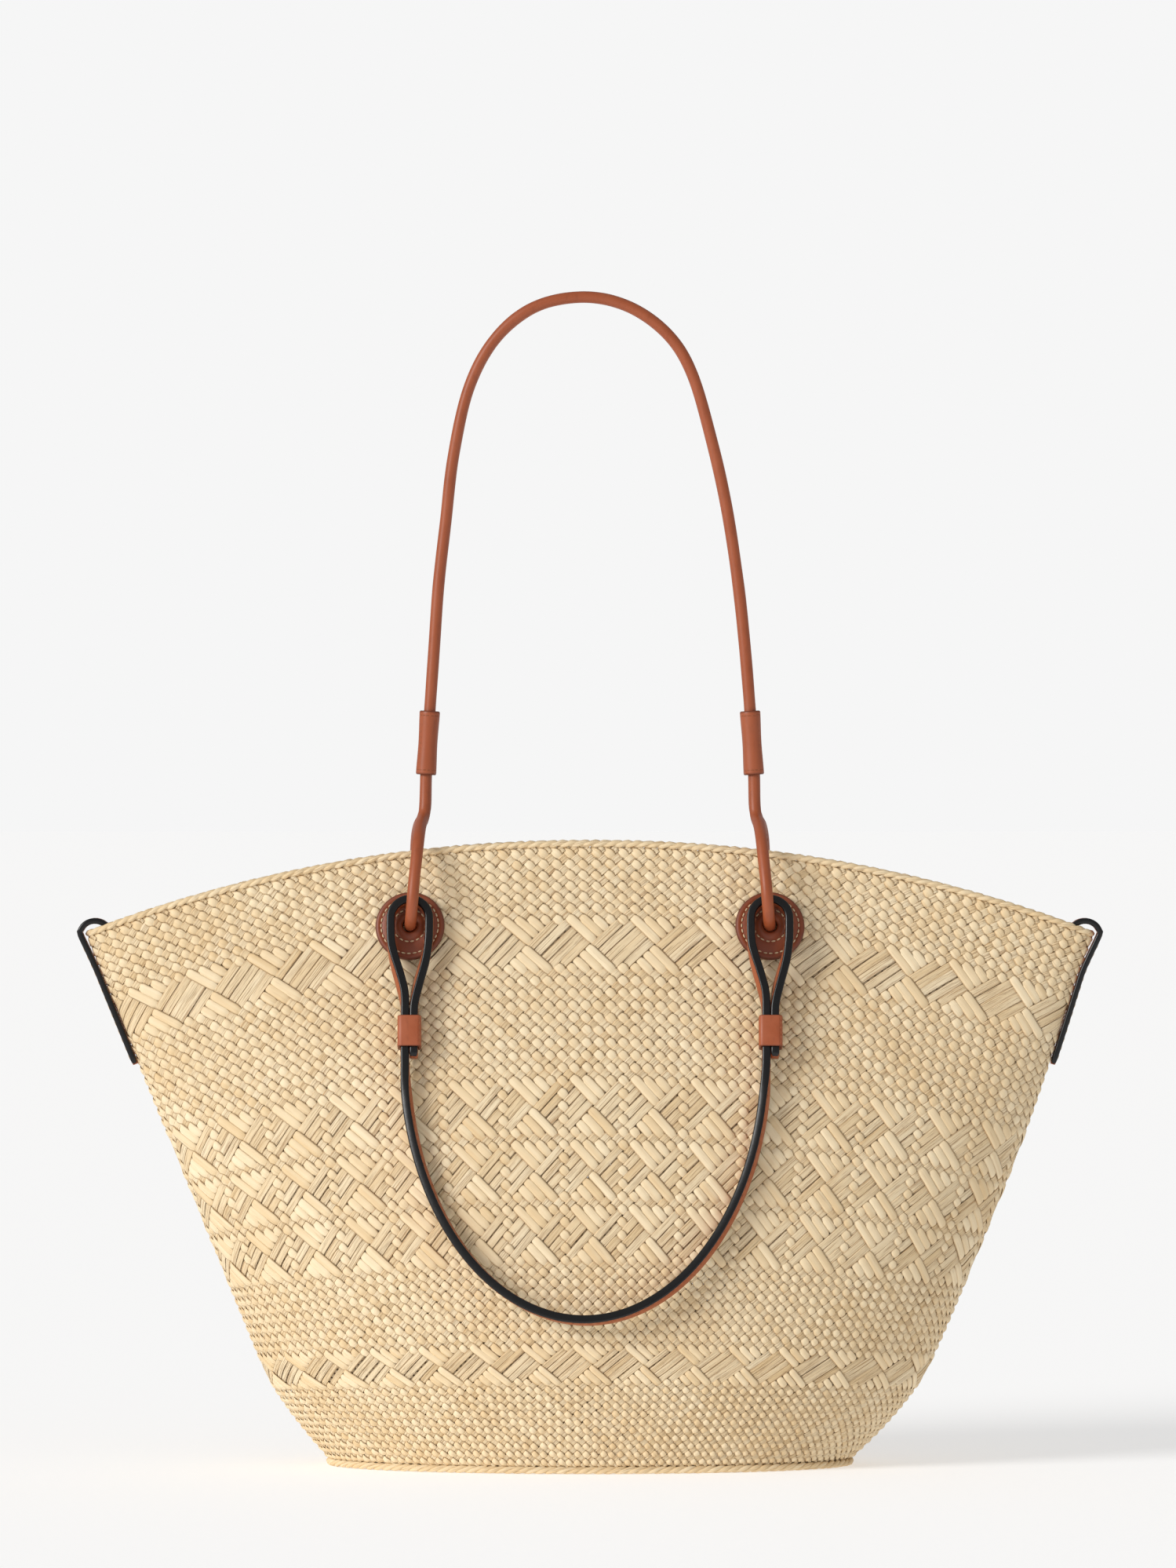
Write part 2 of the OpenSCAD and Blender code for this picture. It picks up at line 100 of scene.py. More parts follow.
class BASKET_PG_leather(bpy.types.PropertyGroup):
    """Sizes of the leather parts."""
    eyelet_x: length_of("Eyelet Spacing", "Distance of each eyelet from the middle", 91)
    eyelet_z: length_of("Eyelet Height", "Height of the eyelets", 274.5)
    patch_d: length_of("Patch Diameter", "Diameter of the round patches", 35.2)
    cord_d: length_of("Cord Diameter", "Diameter of the rolled cord", 6)
    strap_t: length_of("Strap Thickness", "Thickness of the hand straps", 4.3)
    strap_w: length_of("Strap Width", "Width of the hand straps", 8)
    stitch_l: length_of("Stitch Length", "Length of one stitch", 2.1)


class BASKET_PG_colours(bpy.types.PropertyGroup):
    """Colours of the finishes."""
    palm: colour_of("Palm", "Dried palm strand", "#F6E3C0")
    palm_dark: colour_of("Palm Dark", "Darker palm strand", "#E2C393")
    # Used both for the real splits in the palm and for painted shade along the edges of each strand.
    palm_split_and_shade: colour_of("Palm Edge", "Shaded edges and splits of a strand", "#B58552")
    leather: colour_of("Leather", "Tan leather", "#9C4C26")
    leather_dark: colour_of("Leather Dark", "Burnished leather", "#5A2612")
    leather_light: colour_of("Leather Light", "Rubbed leather", "#AE5F3C")
    edge_paint: colour_of("Edge Paint", "Paint on the strap edges", "#0B0A0B")
    cream: colour_of("Cream Thread", "Thread on the patches", "#E6CDA6")
    brown: colour_of("Brown Thread", "Thread on the leather handles", "#A9603C")
    floor: colour_of("Floor", "Studio floor", "#F4F4F4")


# ---- basket surface, in millimetres; v runs from 0 at the foot to 1 at the woven edge ----
WELT_D, RIM_D, WALL_T = 4.0, 3.8, 3.0
FOOT_Z = WELT_D + 0.05
FOOT_ROUND, FOOT_ROUND_H = 14.6, 47.0     # inward curve of the sides at the foot, and its height
BELLY_AT, SLUMP_TOP = 0.27, 0.93          # v of the deepest place, and where both sides are alike


class Basket:
    """The outer surface of the basket."""

    def __init__(self, sizes):
        for name in ("mouth_w", "mouth_d", "base_w", "base_d", "belly_d", "corner_h", "crown_h",
                     "slump"):
            setattr(self, name, getattr(sizes, name) / MM)

    def edge_z(self, x):
        """Height of the woven edge, which is highest in the middle."""
        share = np.minimum(np.abs(2 * x / self.mouth_w), 1)
        return self.crown_h - (self.crown_h - self.corner_h) * share ** 2.1

    def half_w(self, v):
        """Half the width from fold to fold."""
        foot = self.base_w / 2 + FOOT_ROUND
        curve = np.maximum(1 - v * self.corner_h / FOOT_ROUND_H, 0) ** 1.6
        return foot + (self.mouth_w / 2 - foot) * v - FOOT_ROUND * curve

    def half_d(self, v):
        """Half the depth from panel to panel."""
        v = np.clip(v, 0, 1)
        low = self.base_d / 2 + (self.belly_d - self.base_d) / 2 * np.sin(math.pi / 2 * v / BELLY_AT)
        fall = np.cos(math.pi / 2 * np.clip((v - BELLY_AT) / (1 - BELLY_AT), 0, 1))
        high = self.mouth_d / 2 + (self.belly_d - self.mouth_d) / 2 * np.maximum(fall, 0) ** 1.5
        return np.where(v < BELLY_AT, low, high)

    def slump_at(self, v):
        """How far the right side hangs out."""
        low = 1 - np.clip(1 - 2 * v, 0, 1) ** 4
        high = np.cos(math.pi / 2 * np.clip((v - 0.5) / (SLUMP_TOP - 0.5), 0, 1))
        return self.slump * np.where(v < 0.5, low, high)

    def point(self, angle, v, inset=0.0):
        """Place on the surface; angle 0 is the right fold and the front is at negative angles."""
        z = FOOT_Z + (self.edge_z(self.half_w(1) * np.cos(angle)) - FOOT_Z) * v
        right = ((1 + np.cos(angle)) / 2) ** 2
        return np.stack([(self.half_w(v) - inset) * np.cos(angle) + self.slump_at(v) * right,
                         (self.half_d(v) - inset) * np.sin(angle), z], axis=-1)

    def normal(self, angle, v):
        """Outward normal."""
        step = 1e-3
        low, high = np.maximum(v - step, 0), np.minimum(v + step, 1)
        round_it = self.point(angle + step, v) - self.point(angle - step, v)
        up = self.point(angle, high) - self.point(angle, low)
        return unit(np.cross(round_it, up))

    def panel_y(self, x, z):
        """Distance of a panel from the middle plane, its v found by repetition."""
        v = 0.8
        for _ in range(14):
            v = (z - FOOT_Z) / (self.edge_z(x * self.half_w(1) / self.half_w(v)) - FOOT_Z)
        return float(self.half_d(v) * math.sqrt(1 - (x / self.half_w(v)) ** 2))

    def fold_x(self, z, side=-1):
        """Distance of the left (-1) or right (1) fold from the middle."""
        v = (z - FOOT_Z) / (self.corner_h - FOOT_Z)
        return float(self.half_w(v) + (self.slump_at(v) if side > 0 else 0))


def unit(a):
    """Vectors of length one."""
    return a / np.maximum(np.linalg.norm(a, axis=-1, keepdims=True), 1e-12)


def ease(t):
    """Smooth step from 0 to 1."""
    t = np.clip(t, 0, 1)
    return t * t * (3 - 2 * t)


def smooth_path(points, steps):
    """Smooth curve through the points."""
    p = np.asarray(points, float)
    p = np.vstack([2 * p[0] - p[1], p, 2 * p[-1] - p[-2]])
    out = []
    for a, b, c, d in zip(p, p[1:], p[2:], p[3:]):
        for t in np.arange(steps) / steps:
            out.append(0.5 * (2 * b + (c - a) * t + (2 * a - 5 * b + 4 * c - d) * t * t
                              + (3 * b - a - 3 * c + d) * t ** 3))
    return np.array(out + [p[-2]])


def evenly(path, step, closed=False):
    """The path with its points the same distance apart."""
    p = np.vstack([path, path[:1]]) if closed else np.asarray(path, float)
    run = np.concatenate([[0], np.cumsum(np.linalg.norm(np.diff(p, axis=0), axis=1))])
    count = max(int(round(run[-1] / step)), 2)
    at = np.linspace(0, run[-1], count + 1)
    if closed:
        at = at[:-1]
    return np.stack([np.interp(at, run, p[:, k]) for k in range(p.shape[1])], axis=1)


def tangents(path, closed=False):
    """Unit vectors along the path."""
    if closed:
        return unit(np.roll(path, -1, axis=0) - np.roll(path, 1, axis=0))
    return unit(np.gradient(path, axis=0))


def mix(a, b, t):
    return a + (b - a) * t


def carried(path, start):
    """Side vectors turned as little as possible along the path."""
    along, sides, side = tangents(path), [], np.asarray(start, float)
    for t in along:
        side = unit(side - t * np.dot(side, t))
        sides.append(side)
    return np.array(sides)


# ---- meshes ----
WELD = 1e-7              # metres under which two vertices are one


def rounded_box(w, h, r, steps=3):
    """Section points of a rectangle with rounded corners, anticlockwise."""
    out = []
    for k, (sx, sy) in enumerate(((1, 1), (-1, 1), (-1, -1), (1, -1))):
        for a in np.linspace(0, math.pi / 2, steps + 1) + k * math.pi / 2:
            out.append(((w / 2 - r) * sx + r * math.cos(a), (h / 2 - r) * sy + r * math.sin(a)))
    return np.array(out)


def ring_section(d, sides):
    """Section points of a circle."""
    a = np.arange(sides) * TURN / sides
    return np.stack([d / 2 * np.cos(a), d / 2 * np.sin(a)], axis=1)


def make_object(name, bm, material):
    """A smooth-shaded object with its place in its mesh."""
    mesh = bpy.data.meshes.new(name)
    bm.to_mesh(mesh)
    bm.free()
    mesh.materials.append(material)
    for poly in mesh.polygons:
        poly.use_smooth = True
    obj = bpy.data.objects.new(name, mesh)
    bpy.context.collection.objects.link(obj)
    return obj


def finish_mesh(bm):
    """Welds the seams, closes the ends and turns the faces outward."""
    bmesh.ops.remove_doubles(bm, verts=bm.verts, dist=WELD)
    rim = [e for e in bm.edges if e.is_boundary]
    if rim:
        bmesh.ops.holes_fill(bm, edges=rim, sides=0)
    bmesh.ops.recalc_face_normals(bm, faces=bm.faces)


def grid_sheet(places, marks, closed_path=False):
    """A bmesh of tubes: places is (count, along, around, 3) in millimetres, marks the same shape.

    The last column of each grid meets the first, and with closed_path so does the last row."""
    count, rows, columns = places.shape[:3]
    if closed_path:
        places = np.concatenate([places, places[:, :1]], axis=1)
        marks = np.concatenate([marks, marks[:, :1]], axis=1)
        rows += 1
    bm = bmesh.new()
    for k in range(count):
        bmesh.ops.create_grid(bm, x_segments=columns, y_segments=rows - 1, size=0.5,
                              matrix=Matrix.Translation((0, 0, k)))
    mesh = bpy.data.meshes.new("sheet")
    bm.to_mesh(mesh)
    bm.free()
    at = np.empty(len(mesh.vertices) * 3, np.float32)
    mesh.vertices.foreach_get("co", at)
    at = at.reshape(-1, 3)
    column = np.rint((at[:, 0] + 0.5) * columns).astype(int) % columns
    row = np.rint((at[:, 1] + 0.5) * (rows - 1)).astype(int)
    which = np.rint(at[:, 2]).astype(int)
    mesh.vertices.foreach_set("co", (places[which, row, column] * MM).astype(np.float32).ravel())
    layer = mesh.attributes.new("lay", "FLOAT_VECTOR", "POINT")
    layer.data.foreach_set("vector", marks[which, row, column].astype(np.float32).ravel())
    bm = bmesh.new()
    bm.from_mesh(mesh)
    bpy.data.meshes.remove(mesh)
    finish_mesh(bm)
    return bm


def sweep(path, sides, ups, section, closed=False):
    """Sections swept along a path. A section is (across, 2), or one for each point of the path.

    The mark of a point is its distance along, its place across (side, up) as lay.xyz."""
    section = np.asarray(section, float)
    if section.ndim == 2:
        section = np.broadcast_to(section, (len(path),) + section.shape)
    places = (path[:, None] + section[..., :1] * sides[:, None] + section[..., 1:] * ups[:, None])
    run = np.concatenate([[0], np.cumsum(np.linalg.norm(np.diff(path, axis=0), axis=1))])
    marks = np.concatenate([np.broadcast_to(run[:, None, None], section.shape[:2] + (1,)), section],
                           axis=-1)
    return grid_sheet(places[None], marks[None], closed)


def spun(profile, matrix, steps=64):
    """A closed profile (radius, height) spun round the Z axis of the matrix."""
    bm = bmesh.new()
    lay = bm.verts.layers.float_vector.new("lay")
    ring = [bm.verts.new((r * MM, 0, h * MM)) for r, h in profile]
    edges = [bm.edges.new((a, b)) for a, b in zip(ring, ring[1:] + ring[:1])]
    bmesh.ops.spin(bm, geom=ring + edges, cent=(0, 0, 0), axis=(0, 0, 1), angle=TURN, steps=steps,
                   use_merge=True, use_duplicate=False, dvec=(0, 0, 0))
    bmesh.ops.remove_doubles(bm, verts=bm.verts, dist=WELD)
    for v in bm.verts:
        v[lay] = (math.hypot(v.co.x, v.co.y) / MM, v.co.z / MM, 0)
    bmesh.ops.recalc_face_normals(bm, faces=bm.faces)
    bmesh.ops.transform(bm, matrix=matrix, verts=bm.verts)
    return bm


def place_matrix(at, along, up):
    """Matrix with X along, Z up, at a point in millimetres."""
    along, up = Vector(along).normalized(), Vector(up)
    side = up.cross(along).normalized()
    up = along.cross(side)
    m = Matrix((along, side, up)).transposed().to_4x4()
    m.translation = Vector(at) * MM
    return m


def stitch_row(places, length, thick):
    """Stitches as short rounded grains: places is a list of (point, along, up)."""
    bm = bmesh.new()
    for at, along, up in places:
        shape = Matrix.Diagonal((length / 2 * MM, thick / 2 * MM, thick / 2 * MM, 1))
        bmesh.ops.create_uvsphere(bm, u_segments=6, v_segments=5, radius=1,
                                  matrix=place_matrix(at, along, up) @ shape
                                  @ Matrix.Rotation(math.pi / 2, 4, "Y"))
    return bm


# ---- materials ----
class Wire:
    """One output socket, whose sums are written as Python expressions."""

    def __init__(self, graph, socket):
        self.graph, self.socket = graph, socket

    def _sum(self, operation, a, b):
        return self.graph.node("ShaderNodeMath", {"operation": operation}, {0: a, 1: b})

    def __add__(self, other):
        return self._sum("ADD", self, other)

    def __sub__(self, other):
        return self._sum("SUBTRACT", self, other)

    def __rsub__(self, other):
        return self._sum("SUBTRACT", other, self)

    def __mul__(self, other):
        return self._sum("MULTIPLY", self, other)

    def __abs__(self):
        return self._sum("ABSOLUTE", self, 0)

    __radd__ = __add__
    __rmul__ = __mul__

    def between(self, low, high):
        """0 below low, 1 above high, even between them."""
        return self.graph.node("ShaderNodeMapRange", {"clamp": True},
                               {0: self, 1: low, 2: high, 3: 0.0, 4: 1.0})


class Finish:
    """A material and the nodes that make it."""

    def __init__(self, name, **constants):
        self.material = bpy.data.materials.new(name)
        self.material.use_nodes = True
        self.tree = self.material.node_tree
        self.shader = next(n for n in self.tree.nodes if n.type == "BSDF_PRINCIPLED")
        for socket, value in constants.items():
            self.shader.inputs[socket.replace("_", " ")].default_value = value

    def node(self, kind, settings=None, inputs=None, output=0):
        made = self.tree.nodes.new(kind)
        for key, value in (settings or {}).items():
            setattr(made, key, value)
        for key, value in (inputs or {}).items():
            if isinstance(value, Wire):
                self.tree.links.new(value.socket, made.inputs[key])
            else:
                made.inputs[key].default_value = value
        return Wire(self, made.outputs[output])

    def lay(self):
        """The three marks of the mesh, as numbers."""
        vector = self.node("ShaderNodeAttribute", {"attribute_name": "lay"}, output=1)
        return vector, [self.node("ShaderNodeSeparateXYZ", None, {0: vector}, k) for k in range(3)]

    def here(self):
        """Place on the object, in metres."""
        return self.node("ShaderNodeTexCoord", output=3)

    def stretched(self, vector, scale):
        return self.node("ShaderNodeVectorMath", {"operation": "MULTIPLY"}, {0: vector, 1: scale})

    def noise(self, vector, scale, detail=2.0, roughness=0.5):
        return self.node("ShaderNodeTexNoise", None,
                         {"Vector": vector, "Scale": scale, "Detail": detail,
                          "Roughness": roughness})

    def mixed(self, share, a, b):
        """Colour a, with the share of colour b over it."""
        a, b = ((*c, 1) if isinstance(c, tuple) and len(c) == 3 else c for c in (a, b))
        return self.node("ShaderNodeMix", {"data_type": "RGBA"}, {0: share, 6: a, 7: b}, 2)

    def bump(self, height, distance, strength):
        return self.node("ShaderNodeBump", None,
                         {"Strength": strength, "Distance": distance * MM, "Height": height})

    def feed(self, **wires):
        """Links the wires to the shader and gives the finished material."""
        for socket, wire in wires.items():
            self.tree.links.new(wire.socket, self.shader.inputs[socket.replace("_", " ")])
        return self.material


def palm_finish(name, colours, coarse):
    """Dried palm: fine fibres along each strand, splits, strands of slightly different colour, and
    painted shade on the strand edges.
    """
    f = Finish(name, Specular_IOR_Level=0.35)
    vector, (_, across, tint) = f.lay()
    fibre_at = f.stretched(vector, (0.035, 2.2 + 1.6 * coarse, 41.0))
    broad_at = f.stretched(vector, (0.02, 0.9, 17.0))
    fibres = f.noise(fibre_at, 1.6, 3.0, 0.6)
    broad = f.noise(broad_at, 1.3, 2.0)
    patches = f.noise(f.here(), 28.0, 3.0)
    split = fibres.between(0.64 - 0.10 * coarse, 0.76 - 0.10 * coarse)
    shade = f.mixed(tint * 0.55 + broad.between(0.35, 0.75) * 0.45, tuple(colours.palm),
                    tuple(colours.palm_dark))
    shade = f.mixed(patches.between(0.45, 0.75) * 0.35, shade, tuple(colours.palm_dark))
    shade = f.mixed(split * (0.2 + 0.5 * coarse), shade, tuple(colours.palm_split_and_shade))
    # Painted shade: each strand's edges take the split colour, as if shaded where the strand dips beside
    # its neighbours.
    edge = abs(across).between(0.78, 1.0)
    shade = f.mixed(edge * 0.4, shade, tuple(colours.palm_split_and_shade))
    return f.feed(Base_Color=shade, Roughness=0.5 + fibres * 0.28,
                  Normal=f.bump(fibres + split * -0.7, 0.14 + 0.2 * coarse, 0.9))


def leather_finish(name, colours, edge_from, edge_to, axis, rubbed, rough=0.42,
                   dark=0.0):
    """Smooth leather, darker where the mesh's mark on an axis runs from edge_from to edge_to."""
    f = Finish(name, Specular_IOR_Level=0.45, Coat_Weight=0.12, Coat_Roughness=0.35)
    _, marks = f.lay()
    cloud = f.noise(f.here(), 55.0, 4.0)
    pores = f.node("ShaderNodeTexVoronoi", None, {"Vector": f.here(), "Scale": 1900.0})
    scuffs = f.noise(f.stretched(f.here(), (1.0, 1.0, 0.35)), 420.0, 3.0)
    shade = f.mixed(cloud.between(0.35, 0.7) * rubbed, tuple(colours.leather),
                    tuple(colours.leather_light))
    shade = f.mixed(scuffs.between(0.52, 0.8) * 0.25 + dark, shade, tuple(colours.leather_dark))
    shade = f.mixed(abs(marks[axis]).between(edge_from, edge_to) * 0.85, shade,
                    tuple(colours.leather_dark))
    return f.feed(Base_Color=shade, Roughness=rough + cloud * 0.14,
                  Normal=f.bump(pores * 0.6 + scuffs * 0.5, 0.05, 0.55))


def strap_finish(name, colours, paint_from):
    """Leather faces with thick black paint on the two edges of the strap."""
    f = Finish(name, Specular_IOR_Level=0.35, Coat_Weight=0.12, Coat_Roughness=0.25)
    _, (_, _, wide) = f.lay()
    cloud = f.noise(f.here(), 60.0, 3.0)
    ripple = f.noise(f.here(), 420.0, 2.0)
    wobble = f.noise(f.here(), 240.0, 1.0) * 0.5
    painted = (abs(wide) + wobble).between(paint_from, paint_from + 0.25)
    skin = f.mixed(cloud.between(0.35, 0.7) * 0.6, tuple(colours.leather),
                   tuple(colours.leather_light))
    worn = f.mixed(ripple.between(0.6, 0.8) * 0.25, tuple(colours.edge_paint), hue("#1E1A1B"))
    return f.feed(Base_Color=f.mixed(painted, skin, worn),
                  Roughness=0.42 - painted * 0.18 + ripple * 0.1,
                  Normal=f.bump(ripple + painted * 0.8, 0.08, 0.5))


def thread_finish(name, colour):
    """Waxed thread with fine plies."""
    f = Finish(name, Specular_IOR_Level=0.4)
    plies = f.noise(f.here(), 2600.0, 2.0)
    dark = tuple(c * 0.6 for c in colour)
    return f.feed(Base_Color=f.mixed(plies.between(0.35, 0.65), dark, tuple(colour)),
                  Roughness=0.5 + plies * 0.2, Normal=f.bump(plies, 0.08, 0.6))


FINISHES = {}


def finish_named(name):
    """Each finish is made once."""
    colours = bpy.context.scene.basket_colours
    makers = {
        "palm_rising": lambda: palm_finish("palm_rising", colours, 1.0),
        "palm_falling": lambda: palm_finish("palm_falling", colours, 0.15),
        "braid": lambda: palm_finish("braid", colours, 0.6),
        "patch": lambda: leather_finish("patch_leather", colours, 16.2, 17.3, 0, 0.2, 0.4, 0.38),
        "backer": lambda: leather_finish("backer_leather", colours, 16.8, 17.6, 0, 0.8),
        "cord": lambda: leather_finish("cord_leather", colours, 20, 21, 1, 0.35),
        "sleeve": lambda: leather_finish("sleeve_leather", colours, 15.0, 16.2, 2, 0.4),
        "keeper": lambda: leather_finish("keeper_leather", colours, 7.4, 8.0, 2, 0.8),
        "strap": lambda: strap_finish("strap_leather", colours, 3.35),
        "tab": lambda: strap_finish("tab_leather", colours, 3.2),
        "cream": lambda: thread_finish("cream_thread", tuple(colours.cream)),
        "brown": lambda: thread_finish("brown_thread", tuple(colours.brown)),
    }
    if name not in FINISHES:
        FINISHES[name] = makers[name]()
    return FINISHES[name]


def hand_over(obj, body, slot, *nodes):
    """Rides on a body and stands for its CAD nodes."""
    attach(obj, body)
    if nodes:
        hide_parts(*nodes)


# ---- plaiting ----
# Strands of each slant: width to their spacing, lift over and dip under in millimetres, thickness
# to the set one, and how much they narrow where they dive.
SLANTS = {
    "rising": {"width": 1.0, "over": 0.46, "under": 0.55, "thick": 0.80, "pinch": 0.04},
    "falling": {"width": 1.17, "over": 0.86, "under": 0.55, "thick": 1.25, "pinch": 0.32},
    "flat": {"width": 0.99, "over": 0.50, "under": 0.50, "thick": 1.0, "pinch": 0.14},
}
PER_CROSSING = 3         # segments of a strand from one crossing to the next
DRIFT_STEP, DRIFT_MOST = 0.02, 0.25       # how far strands wander sideways, in millimetres
# Share of the rows below a share of the height: they lie closer at the foot and at the rim.
ROW_HEIGHTS = (0, 0.139, 0.195, 0.335, 0.624, 0.805, 0.883, 1)
ROW_SHARES = (0, 0.188, 0.259, 0.402, 0.652, 0.813, 0.884, 1)
# Crossings of one repeat of the raised pattern, by half column and half row, where the falling
# strand lies on top: a fan with a level top, a block with a level foot, and beads between.
FAN = {(7, 1), (9, 1), (1, 1), (3, 1), (8, 0), (0, 0), (2, 0), (9, 9), (1, 9), (0, 8)}
BLOCK = {(0, 6), (9, 5), (1, 5), (8, 4), (0, 4), (2, 4), (7, 3), (9, 3), (1, 3), (3, 3)}
BEADS = {(5, 5), (5, 7), (5, 9)}
EDGE_BEADS = {(5, 1), (5, 3)}
# First and last half row of each band of the pattern, and whether it has beads inside.
BANDS = ((21, 29, False), (45, 73, True), (91, 99, False))


def rising_over(i, j):
    """Whether the strand that climbs to the right lies on top where strands i and j cross."""
    level = j - i
    for low, high, beaded in BANDS:
        if low <= level <= high:
            cell = ((i + j) % 10, (level - low + 3) % 10)
            return not (cell in FAN or cell in BLOCK or cell in EDGE_BEADS
                        or (beaded and cell in BEADS))
    return (i + j) % 2 == 0


class Plait:
    """The lattice of crossings laid over the basket."""

    def __init__(self, basket, strands, rows):
        self.basket, self.strands = basket, strands
        self.v = np.linspace(0, 1, 121)
        angles = np.linspace(-math.pi / 2, 1.5 * math.pi, 1441)
        self.shares = np.linspace(0, 1, 721)
        self.angle_of = np.empty((len(self.v), len(self.shares)))
        round_it = np.empty(len(self.v))
        for k, v in enumerate(self.v):
            line = basket.point(angles, np.full_like(angles, v))
            run = np.concatenate([[0], np.cumsum(np.linalg.norm(np.diff(line, axis=0), axis=1))])
            round_it[k] = run[-1]
            self.angle_of[k] = np.interp(self.shares, run / run[-1], angles)
        self.row_of = rows * np.interp(self.v, ROW_HEIGHTS, ROW_SHARES)
        middle = basket.point(np.full_like(self.v, -math.pi / 2), self.v)
        climb = np.concatenate([[0], np.cumsum(np.linalg.norm(np.diff(middle, axis=0), axis=1))])
        column = round_it / strands
        row = np.gradient(climb, self.row_of)
        self.spacing_of = column * row / np.hypot(column, row)

    def angle(self, column, v):
        """Angle round the basket of a column, at equal steps along the line of each height."""
        share = column / self.strands
        turns = np.floor(share)
        at_v = v * (len(self.v) - 1)
        at_s = (share - turns) * (len(self.shares) - 1)
        a = np.clip(at_v.astype(int), 0, len(self.v) - 2)
        b = np.clip(at_s.astype(int), 0, len(self.shares) - 2)
        fa, fb = at_v - a, at_s - b
        table = self.angle_of
        low = table[a, b] * (1 - fb) + table[a, b + 1] * fb
        high = table[a + 1, b] * (1 - fb) + table[a + 1, b + 1] * fb
        return low * (1 - fa) + high * fa + turns * TURN

    def place(self, column, row):
        """Middle of the wall, its outward normal and the spacing of the strands there."""
        v = np.interp(row, self.row_of, self.v)
        angle = self.angle(column, v)
        return (self.basket.point(angle, v, WALL_T / 2), self.basket.normal(angle, v),
                np.interp(row, self.row_of, self.spacing_of))


def strand_heights(fixed, crossings, rising):
    """+1 where each strand is on top at its crossings, -1 where it is under."""
    over = np.empty((len(fixed), len(crossings[0])))
    for a, (n, line) in enumerate(zip(fixed, crossings)):
        for b, m in enumerate(line):
            top = rising_over(n, m) if rising else not rising_over(m, n)
            over[a, b] = 1 if top else -1
    return over


# Sections of a strand, in half widths and half thicknesses: three fibres side by side, or one
# smooth arched leaf.
SECTIONS = {
    "rising": np.array([(-1.0, 0.05), (0.0, -0.6), (1.0, 0.05), (0.68, 0.85), (0.34, 0.3),
                        (0.0, 1.0), (-0.34, 0.3), (-0.68, 0.85)]),
    "falling": np.array([(-1.0, 0.0), (0.0, -0.6), (1.0, 0.0), (0.6, 0.74), (0.0, 1.0),
                         (-0.6, 0.74)]),
}
SECTIONS["flat"] = SECTIONS["falling"]


def strand_mesh(middle, normal, spacing, height, thick, rng, kind):
    """Closed ribbons along the middle lines, arched on top, one for each row of the arrays."""
    slant, section = SLANTS[kind], SECTIONS[kind]
    count, rows = middle.shape[:2]
    rise = np.where(height > 0, slant["over"], slant["under"]) * height
    along = unit(np.gradient(middle + normal * rise[..., None], axis=1))
    side = unit(np.cross(along, normal))
    up = unit(np.cross(side, along))
    swell = 1 - slant["pinch"] * (1 - np.maximum(height, 0)) ** 1.5
    half = spacing * slant["width"] / 2 * swell * rng.uniform(0.92, 1.05, (count, 1))
    drift = np.cumsum(rng.normal(0, DRIFT_STEP, (count, rows)), axis=1)
    drift -= drift.mean(axis=1, keepdims=True)
    drift = np.clip(drift, -DRIFT_MOST, DRIFT_MOST)
    centre = middle + normal * rise[..., None] + side * drift[..., None]
    across = section[:, 0]
    tall = swell[..., None] * section[:, 1] * thick * slant["thick"] / 2
    places = (centre[:, :, None] + side[:, :, None] * (half[..., None] * across)[..., None]
              + up[:, :, None] * tall[..., None])
    run = np.cumsum(np.linalg.norm(np.gradient(middle, axis=1), axis=-1), axis=1)
    tint = np.broadcast_to(rng.uniform(0, 1, (count, 1)) ** 1.4, (count, rows))
    marks = np.stack([np.broadcast_to(run[..., None], places.shape[:3]),
                      np.broadcast_to(across, places.shape[:3]),
                      np.broadcast_to(tint[..., None], places.shape[:3])], axis=-1)
    return grid_sheet(places, marks)


def steps_between(over, per):
    """Heights along strands, eased from crossing to crossing."""
    share = np.arange(per) / per
    share = (1 - np.cos(math.pi * share)) / 2
    low, high = over[:, :-1, None], over[:, 1:, None]
    body = (low + (high - low) * share).reshape(len(over), -1)
    return np.concatenate([body, over[:, -1:]], axis=1)


class BASKET_OT_wall(bpy.types.Operator):
    """Plait the wall of the basket from two slants of palm strands"""
    bl_idname = "basket.wall"
    bl_label = "Plait Wall"

    groups = {"rising": 5, "falling": 4}      # objects that the strands of each slant are split in

    def execute(self, context):
        sizes = context.scene.basket_sizes
        plait = Plait(Basket(sizes), sizes.strands, sizes.rows)
        rng = np.random.default_rng(7)
        crossings = 2 * sizes.rows + 1
        for slant, name in ((1, "rising"), (-1, "falling")):
            for part, chosen in enumerate(np.array_split(np.arange(sizes.strands),
                                                         self.groups[name])):
                if slant > 0:
                    lines = [np.arange(n, n + crossings) for n in chosen]
                else:
                    lines = [np.arange(n, n - crossings, -1) for n in chosen]
                over = strand_heights(chosen, lines, slant > 0)
                height = steps_between(over, PER_CROSSING)
                row = np.tile(np.linspace(0, sizes.rows, height.shape[1]), (len(chosen), 1))
                column = chosen[:, None] + slant * row
                middle, normal, spacing = plait.place(column, row)
                bm = strand_mesh(middle, normal, spacing, height, sizes.strand_t / MM, rng,
                                 name)
                obj = make_object(f"wall_strands_{name}_{part + 1}", bm,
                                  finish_named(f"palm_{name}"))
                hand_over(obj, "basket", "woven_palm", "woven_wall")
        return {"FINISHED"}


